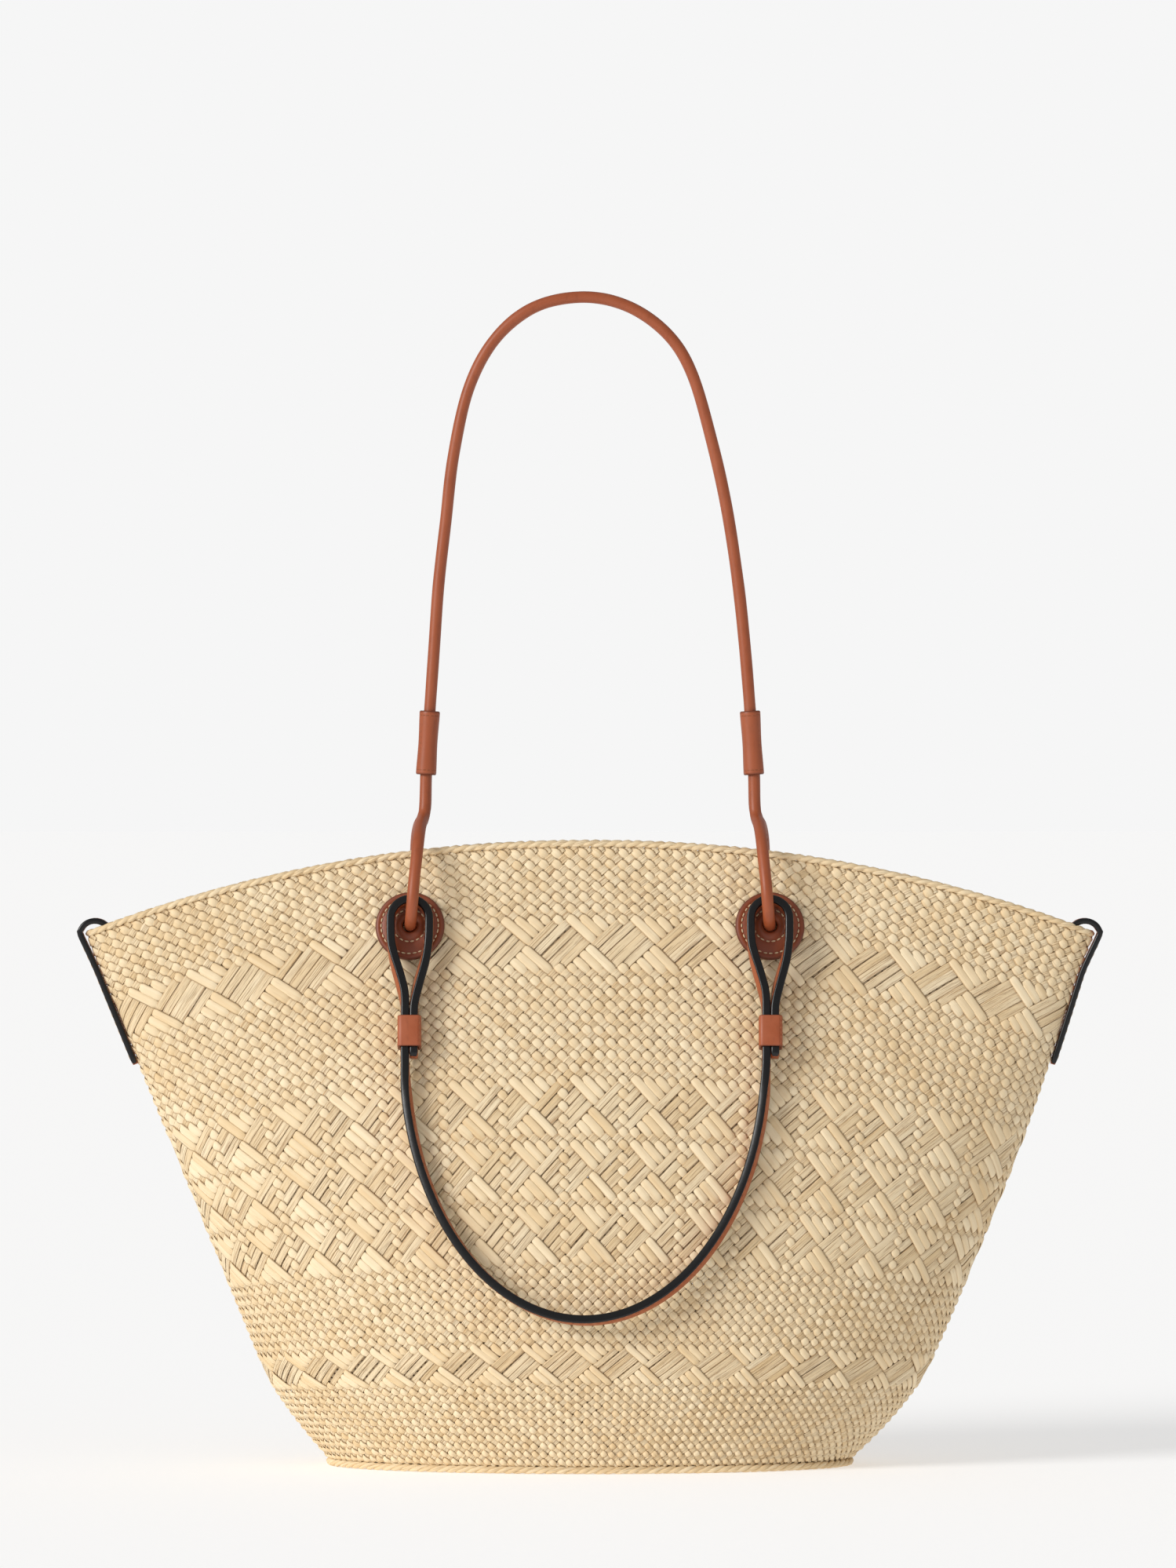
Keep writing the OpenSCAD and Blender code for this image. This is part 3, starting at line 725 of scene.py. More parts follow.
class BASKET_OT_base(bpy.types.Operator):
    """Plait the flat oval base"""
    bl_idname = "basket.base"
    bl_label = "Plait Base"

    pitch = 6.0          # from strand to strand, along the length of the oval
    middle_z = 1.5
    inside_welt = 3.1

    def execute(self, context):
        basket = Basket(context.scene.basket_sizes)
        a = float(basket.half_w(0)) - self.inside_welt
        b = float(basket.half_d(0)) - self.inside_welt
        rng = np.random.default_rng(11)
        strips = []
        reach = int((a + b) / self.pitch) + 2
        for slant in (1, -1):
            for n in range(-reach, reach + 1):
                shift = (n + 0.5) * self.pitch
                # Where the line y = slant * (x - shift) meets the oval.
                p, q = 1 / a ** 2 + 1 / b ** 2, -2 * shift / b ** 2
                inside = q * q - 4 * p * (shift ** 2 / b ** 2 - 1)
                if inside <= 0:
                    continue
                x0, x1 = ((-q + s * math.sqrt(inside)) / (2 * p) for s in (-1, 1))
                if x1 - x0 < self.pitch:
                    continue
                x = np.arange(x0, x1, self.pitch / 4)
                height = np.cos(TURN * x / self.pitch + (0 if slant > 0 else math.pi)
                                + math.pi * n)
                middle = np.stack([x, slant * (x - shift), np.full_like(x, self.middle_z)],
                                  axis=-1)[None]
                normal = np.broadcast_to((0.0, 0.0, -1.0), middle.shape)
                spacing = np.full((1, len(x)), self.pitch / math.sqrt(2))
                strips.append(strand_mesh(middle, normal, spacing, height[None], 0.85, rng,
                                          "flat"))
        mesh = bpy.data.meshes.new("joined")
        joined = bmesh.new()
        for bm in strips:
            bm.to_mesh(mesh)
            bm.free()
            joined.from_mesh(mesh)
        bpy.data.meshes.remove(mesh)
        obj = make_object("base_strands", joined, finish_named("palm_falling"))
        hand_over(obj, "basket", "woven_palm", "woven_base")
        return {"FINISHED"}


class BASKET_OT_edges(bpy.types.Operator):
    """Twist the braid along the rim and the welt round the foot"""
    bl_idname = "basket.edges"
    bl_label = "Twist Edges"

    step = 1.4

    def twisted(self, name, path, thick, plies, ply_d, lay_length, node):
        """A rope of plies twisted round a closed path."""
        path = evenly(path, self.step, closed=True)
        along = tangents(path, closed=True)
        out = unit(np.cross(along, (0.0, 0.0, 1.0)))
        up = np.cross(out, along)
        run = np.arange(len(path)) / len(path)
        turns = round(len(path) * self.step / lay_length)
        rng = np.random.default_rng(len(name))
        places, marks = [], []
        section = ring_section(ply_d, 7)
        for ply in range(plies):
            a = TURN * (turns * run + ply / plies)
            off = thick / 2 - ply_d / 2
            centre = path + off * (np.cos(a)[:, None] * out + np.sin(a)[:, None] * up)
            t = tangents(centre, closed=True)
            side = unit(np.cross(t, up))
            top = np.cross(side, t)
            grow = (1 + 0.1 * np.sin(TURN * run * turns * 2.618 + ply))[:, None, None]
            places.append(centre[:, None] + grow * (section[:, :1] * side[:, None]
                                                    + section[:, 1:] * top[:, None]))
            mark = np.empty(places[-1].shape)
            mark[..., 0] = (run * len(path) * self.step)[:, None]
            mark[..., 1] = (section[:, 1] / ply_d)[None]
            mark[..., 2] = rng.uniform(0.2, 0.9)
            marks.append(mark)
        bm = grid_sheet(np.array(places), np.array(marks), closed_path=True)
        obj = make_object(name, bm, finish_named("braid"))
        hand_over(obj, "basket", "palm_braid", node)

    def execute(self, context):
        basket = Basket(context.scene.basket_sizes)
        angles = np.linspace(0, TURN, 1441)[:-1]
        rim = basket.point(angles, np.ones_like(angles), WALL_T / 2) + (0, 0, RIM_D / 2 + 0.1)
        foot = basket.point(angles, np.zeros_like(angles), WALL_T / 2)
        foot[:, 2] = WELT_D / 2
        self.twisted("rim_twist", rim, RIM_D, 2, 2.5, 11.0, "rim_braid")
        self.twisted("foot_twist", foot, WELT_D, 3, 2.1, 15.0, "base_welt")
        return {"FINISHED"}


# ---- leather on the basket ----
SLOPE_REACH = 5          # half the distance over which a panel's slope is taken


def lean_at(basket, x, z):
    """Angle of the panel from upright."""
    return math.atan((basket.panel_y(x, z - SLOPE_REACH) - basket.panel_y(x, z + SLOPE_REACH))
                     / (2 * SLOPE_REACH))


def eyelet_matrix(basket, leather, sx, sy):
    """Frame of an eyelet: Z points out of the panel."""
    x, z = leather.eyelet_x / MM, leather.eyelet_z / MM
    y = basket.panel_y(x, z)
    lean = lean_at(basket, x, z)
    turn = math.atan((basket.panel_y(x - SLOPE_REACH, z) - basket.panel_y(x + SLOPE_REACH, z))
                     / (2 * SLOPE_REACH))
    m = (Matrix.Translation(Vector((x, -y, z)) * MM) @ Matrix.Rotation(turn, 4, "Z")
         @ Matrix.Rotation(math.pi / 2 - lean, 4, "X"))
    return Matrix.Diagonal((sx, -sy, 1, 1)) @ m


CORNERS = {"front_left": (-1, -1), "front_right": (1, -1),
           "back_left": (-1, 1), "back_right": (1, 1)}
PATCH_SEAT, PATCH_T, COLLAR_R = 0.9, 2.4, 7.5
STITCH_RINGS = ((14.5, 32), (8.3, 18))    # radius and count of each ring of stitches
BACKER_GAP = 0.3         # from the wall's inner face to a backer


class BASKET_OT_patches(bpy.types.Operator):
    """Make the round patches, their stitches and the backers inside the basket"""
    bl_idname = "basket.patches"
    bl_label = "Make Patches"

    def profile(self, radius, hole):
        """Half section of a patch: rounded edge, two grooves for the stitches, raised collar."""
        face, outer = PATCH_SEAT + PATCH_T, STITCH_RINGS[0][0]
        return [(hole, PATCH_SEAT), (radius - 0.4, PATCH_SEAT), (radius, PATCH_SEAT + 0.4),
                (radius - 0.05, face - 1.3), (radius - 0.3, face - 0.5),
                (radius - 0.9, face - 0.05), (outer + 0.8, face), (outer + 0.35, face - 0.25),
                (outer - 0.35, face - 0.25), (outer - 0.8, face), (10.5, face + 0.02),
                (9.1, face), (8.65, face - 0.22), (7.95, face - 0.22), (COLLAR_R, face + 0.1),
                (COLLAR_R - 0.7, face + 0.75), (COLLAR_R - 1.9, face + 1.0),
                (hole + 1.1, face + 1.0), (hole + 0.3, face + 0.75), (hole, face + 0.1)]

    def backer_profile(self, radius, hole):
        back = -WALL_T - BACKER_GAP
        return [(hole, back), (hole, back - 1.4), (hole + 0.4, back - 1.8),
                (radius - 0.6, back - 1.8), (radius - 0.1, back - 1.3), (radius, back - 0.4),
                (radius - 0.3, back)]

    def execute(self, context):
        leather = context.scene.basket_leather
        basket = Basket(context.scene.basket_sizes)
        radius = leather.patch_d / MM / 2
        hole = leather.cord_d / MM / 2 + 0.5
        rng = random.Random(3)
        for corner, (sx, sy) in CORNERS.items():
            matrix = eyelet_matrix(basket, leather, sx, sy)
            bm = spun(self.profile(radius, hole), matrix, 72)
            bmesh.ops.recalc_face_normals(bm, faces=bm.faces)
            obj = make_object(f"{corner}_leather_patch", bm, finish_named("patch"))
            hand_over(obj, "basket", "tan_leather", f"{corner}_patch")
            bm = bmesh.new()
            for ring, count in STITCH_RINGS:
                for k in range(count):
                    a = TURN * k / count + rng.uniform(-0.012, 0.012)
                    at = matrix @ (Matrix.Rotation(a, 4, "Z") @ Vector(
                        (ring * MM, 0, (PATCH_SEAT + PATCH_T - 0.05) * MM)))
                    along = matrix.to_3x3() @ Vector((-math.sin(a), math.cos(a), 0))
                    up = matrix.to_3x3() @ Vector((0, 0, 1))
                    long = leather.stitch_l / MM * rng.uniform(0.92, 1.05)
                    shape = Matrix.Diagonal((long / 2 * MM, 0.42 * MM, 0.36 * MM, 1))
                    bmesh.ops.create_uvsphere(
                        bm, u_segments=7, v_segments=6, radius=1,
                        matrix=place_matrix(at / MM, along, up) @ shape
                        @ Matrix.Rotation(math.pi / 2, 4, "Y"))
            obj = make_object(f"{corner}_stitches", bm, finish_named("cream"))
            hand_over(obj, "basket", "cream_thread", f"{corner}_patch_thread")
            bm = spun(self.backer_profile(radius, hole), matrix, 64)
            obj = make_object(f"{corner}_inner_backer", bm, finish_named("backer"))
            hand_over(obj, "basket", "tan_leather", f"{corner}_backer")
        return {"FINISHED"}


class BASKET_OT_tabs(bpy.types.Operator):
    """Make the side tabs that fold over the corners of the rim"""
    bl_idname = "basket.tabs"
    bl_label = "Make Side Tabs"

    width, thick, length = 8.0, 3.0, 64.5
    hug = -0.4           # from the curve of the fold to the inner face of the tab

    def line(self, basket, side):
        """Centre line of a tab, up the fold, over the rim and down inside."""
        bend_z = basket.corner_h + RIM_D / 2
        out = basket.fold_x(bend_z) + 0.5 + self.thick / 2
        into = basket.fold_x(bend_z) - 13
        top = float(basket.edge_z(basket.fold_x(bend_z) - 8)) + RIM_D + 0.6 + self.thick / 2
        foot = basket.corner_h - self.length
        points = []
        for k in range(8):
            z = foot + (bend_z - foot) * k / 7
            near = self.hug + 0.9 * ease((z - basket.corner_h + 14) / 14)
            points.append((basket.fold_x(z, side) + near + self.thick / 2, z))
        for a in np.radians(np.arange(20, 161, 20)):
            points.append(((into + out) / 2 + (out - into) / 2 * math.cos(a),
                           bend_z + (top - bend_z) * math.sin(a)))
        return points + [(into, bend_z), (into - 2.5, bend_z - 10), (into - 8.5, bend_z - 25)]

    def execute(self, context):
        basket = Basket(context.scene.basket_sizes)
        for side_name, sx in (("left", -1), ("right", 1)):
            flat = np.array(self.line(basket, sx))
            path = np.stack([flat[:, 0] * sx, np.zeros(len(flat)), flat[:, 1]], axis=1)
            path = evenly(smooth_path(path, 4), 1.6)
            sides = np.broadcast_to((0.0, 1.0, 0.0), path.shape)
            ups = np.cross(tangents(path), sides) * -sx
            section = rounded_box(self.width, self.thick, 0.9)
            taper = np.ones(len(path))
            taper[0], taper[1], taper[-1] = 0.72, 0.93, 0.8
            bm = sweep(path, sides, ups, section[None] * taper[:, None, None])
            lay = bm.verts.layers.float_vector["lay"]
            for v in bm.verts:
                v[lay] = (v[lay][0], v[lay][2], v[lay][1])
            obj = make_object(f"{side_name}_leather_tab", bm, finish_named("tab"))
            hand_over(obj, "basket", "tan_leather", f"{side_name}_side_tab")
            run = evenly(path[:44], 4.6)
            t = tangents(run)
            places = []
            for lane in (-1, 1):
                for p, along in list(zip(run, t))[1:-1]:
                    up = np.cross(along, (0, 1, 0)) * sx
                    up = up if up[0] * sx > 0 else -up
                    at = p + up * (self.thick / 2 + 0.02) + np.array([0, lane * 1.6, 0])
                    places.append((at, along, up))
            obj = make_object(f"{side_name}_tab_stitches", stitch_row(places, 2.9, 0.62),
                              finish_named("cream"))
            hand_over(obj, "basket", "cream_thread", f"{side_name}_tab_thread")
        return {"FINISHED"}


# ---- shoulder handle ----
FOLD_Z, SLEEVE_L, SLEEVE_W = 343.5, 32.5, 10.4
SLEEVE_FOOT = FOLD_Z + 8
HINGE_RISE, STRAP_CLEAR = 13.5, 2.2       # hinge of a hand strap over the eyelet, and strap to patch
SEAM_ANGLE = math.radians(200)            # of the cord's seam round its section
ARCH = [(-79.4, -2.2, 416), (-77.2, -0.8, 448), (-73.6, 0, 480), (-69.6, 0, 514),
        (-61.6, 0, 549), (-48, 0, 574), (-28, 0, 590), (-3, 0, 595), (20, 0, 590), (39.6, 0, 576),
        (52, 0, 556), (62, 0, 522), (69.6, 0, 488), (75.4, -0.8, 450), (79, -2.2, 416)]


def cord_run(basket, leather, x_rim, x_out):
    """Centre of the cord of one side, from under the sleeve down and in through the eyelet."""
    x, z = leather.eyelet_x / MM, leather.eyelet_z / MM
    cord, strap = leather.cord_d / MM, leather.strap_w / MM
    hinge_z, face = z + HINGE_RISE, PATCH_SEAT + PATCH_T
    eyelet_y = basket.panel_y(x, z)
    strap_y = basket.panel_y(x, hinge_z) + face + strap / 2 + STRAP_CLEAR
    front = strap_y + strap / 2 + cord / 2 + 1.4
    braid_y = (float(basket.half_d(1)) * math.sqrt(1 - (x / float(basket.half_w(1))) ** 2)
               + (RIM_D + cord) / 2)
    sink, top_x, top_y = math.sin(lean_at(basket, x, z)), x - 7, -(cord / 2 + 1.7)
    crown = basket.crown_h
    return [
        (top_x, top_y, FOLD_Z - 8),
        (mix(top_x, x_rim, 0.3), -8.3, FOLD_Z - 14.2),
        (mix(top_x, x_rim, 0.7), mix(-8.3, -braid_y, 0.5), mix(FOLD_Z - 14.2, crown + 9, 0.62)),
        (x_rim, -(braid_y + 2.6), crown + 4.5),
        (mix(x_rim, x_out, 0.5), mix(-(braid_y + 2.6), -front, 0.62), crown - 7.5),
        (x_out, -front + 0.2, hinge_z + 7),
        (mix(x_out, x, 0.4), -front, hinge_z - 3),
        (mix(x_out, x, 0.8), -(eyelet_y + face + 7.5), z + 2.9),
        (x, -(eyelet_y + 2), z + 2 * sink),
        (x, -(eyelet_y - 6), z - 6 * sink),
    ]


def whole_cord(basket, leather):
    """Centre of the whole cord, from one hidden end through both loops to the other."""
    x, z = leather.eyelet_x / MM, leather.eyelet_z / MM
    front = cord_run(basket, leather, x - 4.2, x - 1.9)
    back = [(a, -b, c) for a, b, c in cord_run(basket, leather, x - 2, x - 0.6)]
    sag = (x, 0, z - basket.panel_y(x, z) * 0.24)
    ends = [(x - 9.15, 3.1, SLEEVE_FOOT + SLEEVE_L - 4), (x - 8.3, 3.1, FOLD_Z + 22),
            (x - 7.4, 3.1, SLEEVE_FOOT)]
    lead = [(x - 7.4, -3.1, SLEEVE_FOOT), (x - 8.4, -3.1, FOLD_Z + 24),
            (x - 9.4, -3.1, FOLD_Z + 40.5)]
    right = lead[::-1] + front + [sag] + back[::-1] + ends[::-1]
    left = [(-a, b, c) for a, b, c in right][::-1]
    return evenly(smooth_path(left + ARCH + right, 8), 2.4)


class BASKET_OT_cord(bpy.types.Operator):
    """Roll the shoulder cord and stitch its seam"""
    bl_idname = "basket.cord"
    bl_label = "Roll Cord"

    def execute(self, context):
        leather = context.scene.basket_leather
        path = whole_cord(Basket(context.scene.basket_sizes), leather)
        sides = carried(path, (0, 1, 0))
        ups = np.cross(tangents(path), sides)
        section = ring_section(leather.cord_d / MM, 20)
        a = np.arctan2(section[:, 1], section[:, 0])
        # A shallow groove where the leather's two edges meet.
        groove = 1 - 0.09 * np.exp(-((a - SEAM_ANGLE + math.pi) % TURN - math.pi) ** 2 / 0.02)
        rng = np.random.default_rng(21)
        wave = np.convolve(rng.normal(0, 1, len(path) + 14), np.hanning(15), "valid") * 0.006
        shaped = section[None] * groove[None, :, None] * (1 + wave[:, None, None])
        obj = make_object("rolled_cord", sweep(path, sides, ups, shaped), finish_named("cord"))
        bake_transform(obj)
        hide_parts("left_cord_loop", "right_cord_loop", "shoulder_arch", "left_cord_end",
                    "right_cord_end")
        t = tangents(path)
        places = []
        for k in range(12, len(path) - 12, 2):
            out = math.cos(SEAM_ANGLE) * sides[k] + math.sin(SEAM_ANGLE) * ups[k]
            places.append((path[k] + out * (leather.cord_d / MM / 2 - 0.18), t[k], out))
        seam = make_object("cord_seam_stitches", stitch_row(places, 3.0, 0.5), finish_named("brown"))
        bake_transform(seam)
        return {"FINISHED"}


class BASKET_OT_sleeves(bpy.types.Operator):
    """Make the stitched leather sleeves that bind the cords"""
    bl_idname = "basket.sleeves"
    bl_label = "Make Sleeves"

    def execute(self, context):
        leather = context.scene.basket_leather
        pinch = leather.cord_d / MM / 2 + 0.1
        x = leather.eyelet_x / MM
        levels = np.concatenate([[0, 0.25, 0.7], np.linspace(1.6, SLEEVE_L - 1.6, 15),
                                 [SLEEVE_L - 0.7, SLEEVE_L - 0.25, SLEEVE_L]])
        foot = np.array([x - 7.4, 0, SLEEVE_FOOT])
        head = np.array([x - 9.4, 0, SLEEVE_FOOT + SLEEVE_L])
        around = np.linspace(0, TURN, 41)[:-1]
        for side_name, sx in (("left", -1), ("right", 1)):
            mirror = np.array([sx, 1, 1])
            axis = unit((head - foot) * mirror)
            across = unit(np.cross((0, 1, 0), axis))
            rows, marks = [], []
            for inner in (False, True):
                for h in levels[::-1] if inner else levels:
                    share = h / SLEEVE_L
                    middle = foot * mirror + (head - foot) * mirror * share
                    lip = min(h, SLEEVE_L - h)
                    round_off = 0.5 * (1 - min(lip / 0.7, 1)) ** 2
                    waist = 0.35 * math.sin(math.pi * share) ** 2
                    r = leather.cord_d / MM / 2 + 0.06 if inner else SLEEVE_W / 2 - round_off - waist
                    deep = r * np.sin(around) + pinch * np.sign(np.sin(around))
                    ring = (middle + across * (r * np.cos(around))[:, None]
                            + np.array([0, 1.0, 0]) * deep[:, None])
                    rows.append(ring)
                    mark = np.zeros(ring.shape)
                    mark[:, 0], mark[:, 1] = h, r
                    mark[:, 2] = h - SLEEVE_L / 2
                    marks.append(mark)
            bm = grid_sheet(np.array(rows)[None], np.array(marks)[None], closed_path=True)
            obj = make_object(f"{side_name}_leather_sleeve", bm, finish_named("sleeve"))
            hand_over(obj, "shoulder_handle", "tan_leather", f"{side_name}_sleeve")
            places = []
            for face in (-1, 1):
                for level in (2.4, SLEEVE_L - 2.4):
                    for a in np.radians(np.arange(-60, 61, 24)):
                        out = across * math.sin(a) + np.array([0, face * math.cos(a), 0])
                        middle = foot * mirror + (head - foot) * mirror * level / SLEEVE_L
                        at = middle + out * (SLEEVE_W / 2 - 0.08) + np.array([0, face * pinch, 0])
                        places.append((at, np.cross(out, axis), out))
                for k in range(9):
                    level = 4.5 + k * 2.9
                    middle = foot * mirror + (head - foot) * mirror * level / SLEEVE_L
                    out = unit(across * sx * 0.75 + np.array([0, face * 0.66, 0]))
                    at = middle + out * (SLEEVE_W / 2 - 0.4) + np.array([0, face * pinch, 0])
                    places.append((at, axis, out))
            obj = make_object(f"{side_name}_sleeve_stitches", stitch_row(places, 1.9, 0.6),
                              finish_named("brown"))
            hand_over(obj, "shoulder_handle", "brown_thread", f"{side_name}_sleeve_thread")
        return {"FINISHED"}


# ---- hand straps: drawn flat, x across and y up from the hinge ----
LOOP_R, KEEPER_L, KEEPER_TOP, STRAP_DROP = 9.7, 16.0, -60.5, 216.0
KEEPER_FOOT = KEEPER_TOP - KEEPER_L
STRAP_REST = math.radians(14.3725)        # lean of a strap as it lies on the panel
TWIST = math.radians(15)
WIDEST = -17.0                            # where a teardrop starts to narrow


class Strap:
    """Centre line of a hand strap and its place in front of the panel."""

    def __init__(self, basket, leather, turn):
        self.x = leather.eyelet_x / MM
        self.leg = leather.strap_t / MM / 2 + 0.05
        hinge_z = leather.eyelet_z / MM + HINGE_RISE
        strap_y = (basket.panel_y(self.x, hinge_z) + PATCH_SEAT + PATCH_T
                   + leather.strap_w / MM / 2 + STRAP_CLEAR)
        self.matrix = (Matrix.Rotation(turn, 4, "Z")
                       @ Matrix.Translation(Vector((0, -strap_y, hinge_z)))
                       @ Matrix.Rotation(math.pi / 2 - STRAP_REST, 4, "X"))

    def teardrop(self, x):
        """A loop from its hidden end in the keeper, over the cord, back into the keeper."""
        heights = np.linspace(WIDEST, KEEPER_TOP + 3, 10)
        u = (WIDEST - heights) / (WIDEST - KEEPER_TOP - 3)
        spread = LOOP_R + (self.leg - LOOP_R) * (0.5 - 0.5 * np.cos(math.pi * u))
        arc = np.radians(np.arange(0, 181, 15))
        right = np.stack([x + spread, heights], axis=1)[::-1]
        top = np.stack([x + LOOP_R * np.cos(arc), LOOP_R * np.sin(arc) - LOOP_R], axis=1)
        left = np.stack([x - spread, heights], axis=1)
        return np.vstack([[x + self.leg, KEEPER_FOOT - 5], [x + self.leg, KEEPER_FOOT + 6], right,
                          top, left, [x - self.leg, KEEPER_FOOT + 6], [x - self.leg, KEEPER_FOOT]])

    def flat_line(self):
        """Left loop, bow and right loop."""
        bow_top = KEEPER_FOOT - 4
        a = np.radians(np.arange(180, 361, 6))
        bow = np.stack([-self.leg + self.x * np.cos(a),
                        bow_top + (STRAP_DROP + bow_top) * np.sin(a)], axis=1)
        line = np.vstack([self.teardrop(-self.x), bow, self.teardrop(self.x)[::-1]])
        return evenly(smooth_path(line, 4), 2.0)

    def put(self, x, h, w=0.0):
        """A flat point in its place, w out from the panel."""
        return np.array(self.matrix @ Vector((x, h, w)))

    def turned(self, x, h, w):
        """A flat direction turned into its place."""
        return np.array(self.matrix.to_3x3() @ Vector((x, h, w)))


class BASKET_OT_straps(bpy.types.Operator):
    """Make the hand straps, their keepers and their stitches"""
    bl_idname = "basket.straps"
    bl_label = "Make Hand Straps"

    def twist_at(self, h, climb):
        """Turn of the strap about its own length: open to one side above the keepers, to the
        other below them, and none where it runs level."""
        above = ease((h - KEEPER_TOP - 2) / 14) * (1 - ease((h + 38) / 18))
        below = ease((KEEPER_FOOT - 6 - h) / 22)
        return TWIST * (above - below) * climb

    def execute(self, context):
        leather = context.scene.basket_leather
        basket = Basket(context.scene.basket_sizes)
        thick, wide = leather.strap_t / MM, leather.strap_w / MM
        section = rounded_box(thick, wide, 0.95, 3)
        for name, turn in (("front", 0.0), ("back", math.pi)):
            strap = Strap(basket, leather, turn)
            flat = strap.flat_line()
            t = tangents(flat)
            path = np.array([strap.put(x, h) for x, h in flat])
            sides, ups = [], []
            for (_, h), (tx, th) in zip(flat, t):
                a = self.twist_at(h, th)
                n, w = strap.turned(-th, tx, 0), strap.turned(0, 0, 1)
                sides.append(n * math.cos(a) + w * math.sin(a))
                ups.append(w * math.cos(a) - n * math.sin(a))
            sides, ups = np.array(sides), np.array(ups)
            taper = np.ones(len(path))
            taper[[0, -1]] = 0.85
            obj = make_object(f"{name}_leather_strap",
                              sweep(path, sides, ups, section[None] * taper[:, None, None]),
                              finish_named("strap"))
            body = f"{name}_handle"
            hand_over(obj, body, "edge_paint", f"{name}_strap")
            places = []
            long = tangents(path)
            for k in range(6, len(path) - 6, 2):
                for face in (-1, 1):
                    at = (path[k] + sides[k] * face * (thick / 2 - 0.02)
                          + ups[k] * (wide / 2 - 1.9))
                    places.append((at, long[k], sides[k] * face))
            obj = make_object(f"{name}_strap_stitches", stitch_row(places, 2.6, 0.5),
                              finish_named("brown"))
            hand_over(obj, body, "brown_thread", f"{name}_strap_thread")
            self.keepers(name, body, strap, thick, wide)
        return {"FINISHED"}

    def keepers(self, name, body, strap, thick, wide):
        """A folded leather band round the two legs of each teardrop."""
        outline = rounded_box(2 * thick + 0.2 + 1.6, wide + 0.1 + 1.6, 1.5, 4)
        wall = rounded_box(1.5, KEEPER_L, 0.45, 2)
        places = []
        for side_name, sx in (("left", -1), ("right", 1)):
            centre_h = KEEPER_FOOT + KEEPER_L / 2
            path = np.array([strap.put(sx * strap.x + a, centre_h, b) for a, b in outline])
            up = strap.turned(0, 1, 0)
            ups = np.broadcast_to(up, path.shape)
            sides = unit(np.cross(tangents(path, closed=True), ups))
            bm = sweep(path, sides, ups, wall, closed=True)
            # The back strap is turned half round, so its left keeper is on the right.
            real = side_name if name == "front" else {"left": "right", "right": "left"}[side_name]
            obj = make_object(f"{name}_{real}_leather_keeper", bm, finish_named("keeper"))
            hand_over(obj, body, "tan_leather", f"{name}_{real}_keeper")
            for k in range(6):
                at = strap.put(sx * strap.x + thick + 0.75, KEEPER_FOOT + 2.0 + k * 2.4,
                               wide / 2 + 1.62)
                places.append((at, up, strap.turned(0, 0, 1)))
        obj = make_object(f"{name}_keeper_stitches", stitch_row(places, 1.6, 0.55),
                          finish_named("brown"))
        hand_over(obj, body, "brown_thread", f"{name}_keeper_thread")


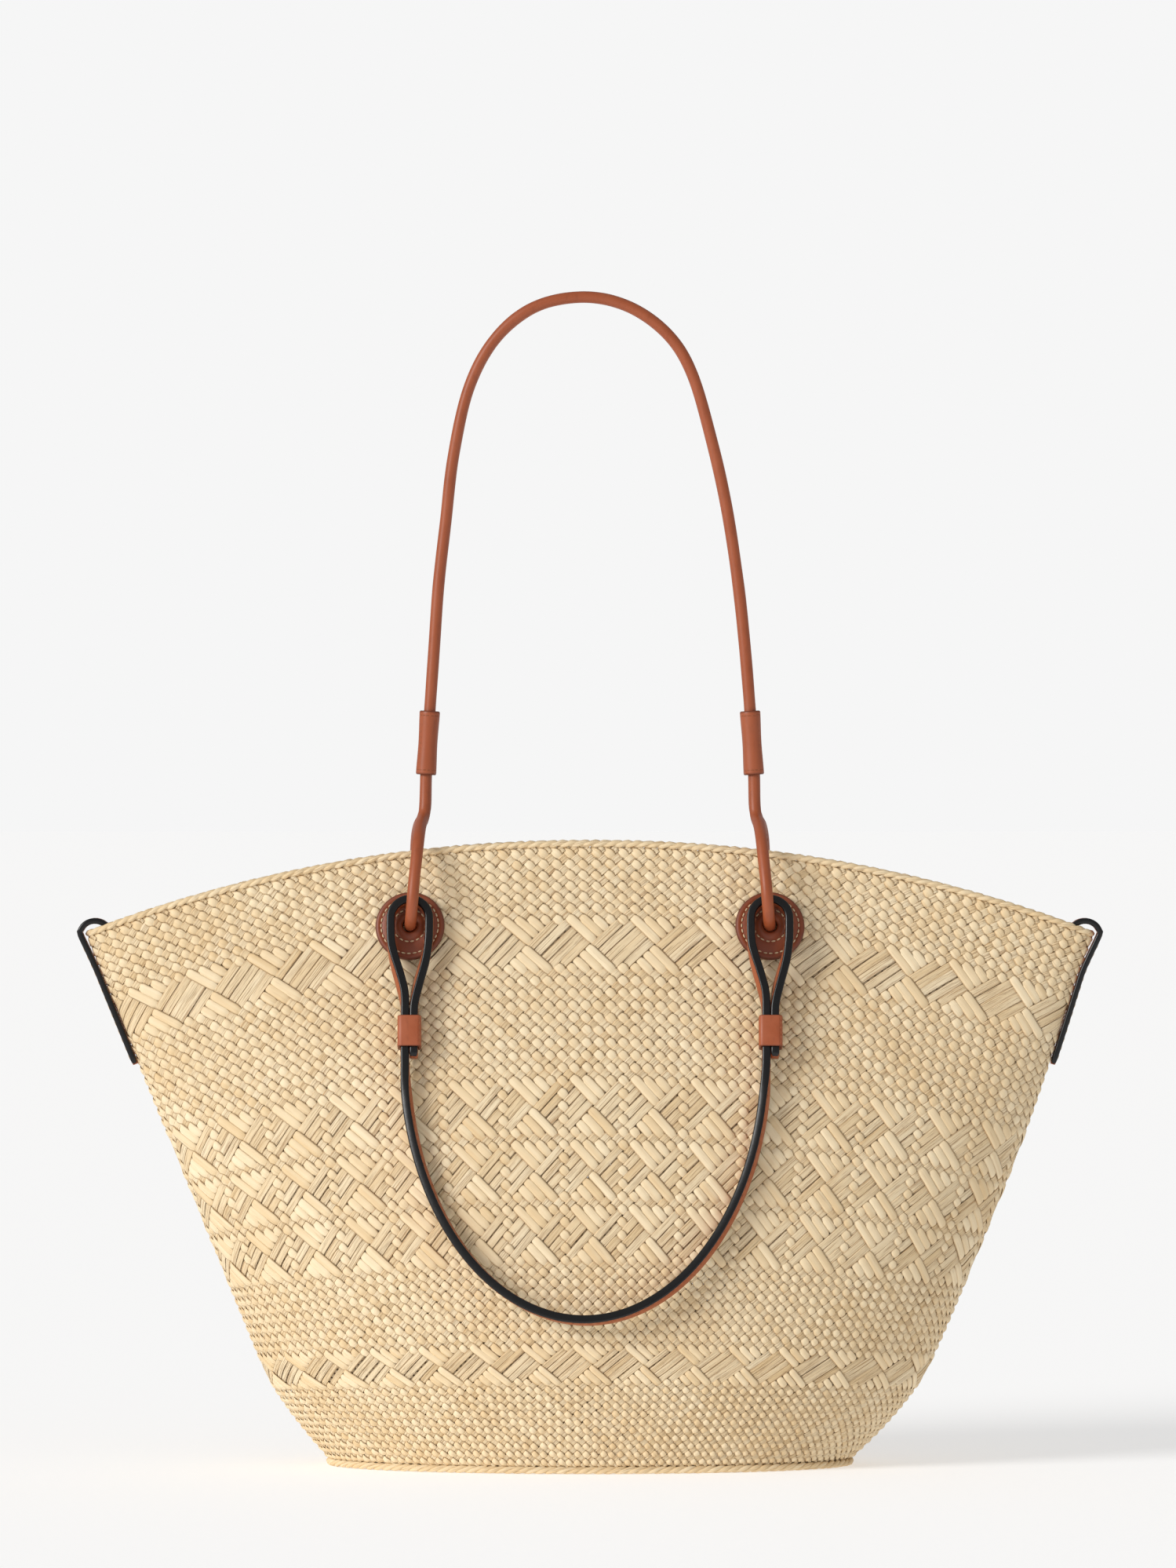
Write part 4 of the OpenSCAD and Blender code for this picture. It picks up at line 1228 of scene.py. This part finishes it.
class BASKET_OT_stage(bpy.types.Operator):
    """Set up the floor, the lights and the camera"""
    bl_idname = "basket.stage"
    bl_label = "Set Stage"

    floor_half = 60.0
    floor_shade, floor_glow = 0.85, 0.42
    sky_light, sky_seen = 0.42, 0.922     # strength for the object, and as the backdrop
    key_strength, key_angle = 2.05, math.radians(26)
    key_towards = (0.83, 0.62, -0.42)
    distance = 4.5       # of the camera, in metres
    view_height = 0.7992
    eye = (-0.001, 0.3468)

    def execute(self, context):
        bm = bmesh.new()
        bmesh.ops.create_grid(bm, x_segments=12, y_segments=12, size=self.floor_half)
        floor = Finish("studio_floor", Roughness=0.9, Specular_IOR_Level=0.1,
                       Emission_Color=(1, 1, 1, 1), Emission_Strength=self.floor_glow)
        speckle = floor.noise(floor.here(), 3.0, 1.0)
        shade = tuple(self.floor_shade * c for c in context.scene.basket_colours.floor)
        floor.feed(Base_Color=floor.mixed(speckle * 0.05, shade, tuple(c * 0.97 for c in shade)))
        obj = make_object("studio_floor", bm, floor.material)
        world = bpy.data.worlds.new("studio")
        world.use_nodes = True
        nodes, links = world.node_tree.nodes, world.node_tree.links
        sky = nodes["Background"]
        sky.inputs[0].default_value = (1, 1, 1, 1)
        sky.inputs[1].default_value = self.sky_light
        seen = nodes.new("ShaderNodeBackground")
        seen.inputs[0].default_value = (1, 1, 1, 1)
        seen.inputs[1].default_value = self.sky_seen
        path, either = nodes.new("ShaderNodeLightPath"), nodes.new("ShaderNodeMixShader")
        links.new(path.outputs["Is Camera Ray"], either.inputs[0])
        links.new(sky.outputs[0], either.inputs[1])
        links.new(seen.outputs[0], either.inputs[2])
        links.new(either.outputs[0], nodes["World Output"].inputs[0])
        context.scene.world = world
        data = bpy.data.lights.new("key", "SUN")
        data.energy, data.angle = self.key_strength, self.key_angle
        data.color = (1.0, 0.985, 0.965)
        key = bpy.data.objects.new("key", data)
        context.collection.objects.link(key)
        key.rotation_euler = Vector(self.key_towards).to_track_quat("-Z", "Y").to_euler()
        data = bpy.data.cameras.new("studio_camera")
        data.sensor_fit = "VERTICAL"
        data.sensor_height = 36
        data.lens = 36 * self.distance / self.view_height
        camera = bpy.data.objects.new("studio_camera", data)
        context.collection.objects.link(camera)
        camera.location = (self.eye[0], -self.distance, self.eye[1])
        camera.rotation_euler = (math.pi / 2, 0, 0)
        context.scene.camera = camera
        context.scene.view_settings.view_transform = "Standard"
        return {"FINISHED"}


class BASKET_PT_panel(bpy.types.Panel):
    """Sizes, colours and steps of the basket bag"""
    bl_idname = "BASKET_PT_panel"
    bl_label = "Palm Basket"
    bl_space_type = "VIEW_3D"
    bl_region_type = "UI"
    bl_category = "Basket"

    def draw(self, context):
        for group in PROPERTY_GROUPS:
            settings = getattr(context.scene, group)
            box = self.layout.box()
            for name in type(settings).__annotations__:
                box.prop(settings, name)
        for operator in OPERATORS:
            self.layout.operator(operator.bl_idname)


PROPERTY_GROUPS = {"basket_sizes": BASKET_PG_sizes, "basket_leather": BASKET_PG_leather,
                   "basket_colours": BASKET_PG_colours}
OPERATORS = (BASKET_OT_wall, BASKET_OT_base, BASKET_OT_edges, BASKET_OT_patches, BASKET_OT_tabs,
             BASKET_OT_cord, BASKET_OT_sleeves, BASKET_OT_straps, BASKET_OT_stage)


def register():
    for cls in (*PROPERTY_GROUPS.values(), *OPERATORS, BASKET_PT_panel):
        bpy.utils.register_class(cls)
    for name, cls in PROPERTY_GROUPS.items():
        setattr(bpy.types.Scene, name, bpy.props.PointerProperty(type=cls))


def unregister():
    for name in PROPERTY_GROUPS:
        delattr(bpy.types.Scene, name)
    for cls in reversed((*PROPERTY_GROUPS.values(), *OPERATORS, BASKET_PT_panel)):
        bpy.utils.unregister_class(cls)


def main():
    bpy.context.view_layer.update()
    register()
    for operator in OPERATORS:
        area, name = operator.bl_idname.split(".")
        getattr(getattr(bpy.ops, area), name)()


if __name__ == "__main__":
    main()
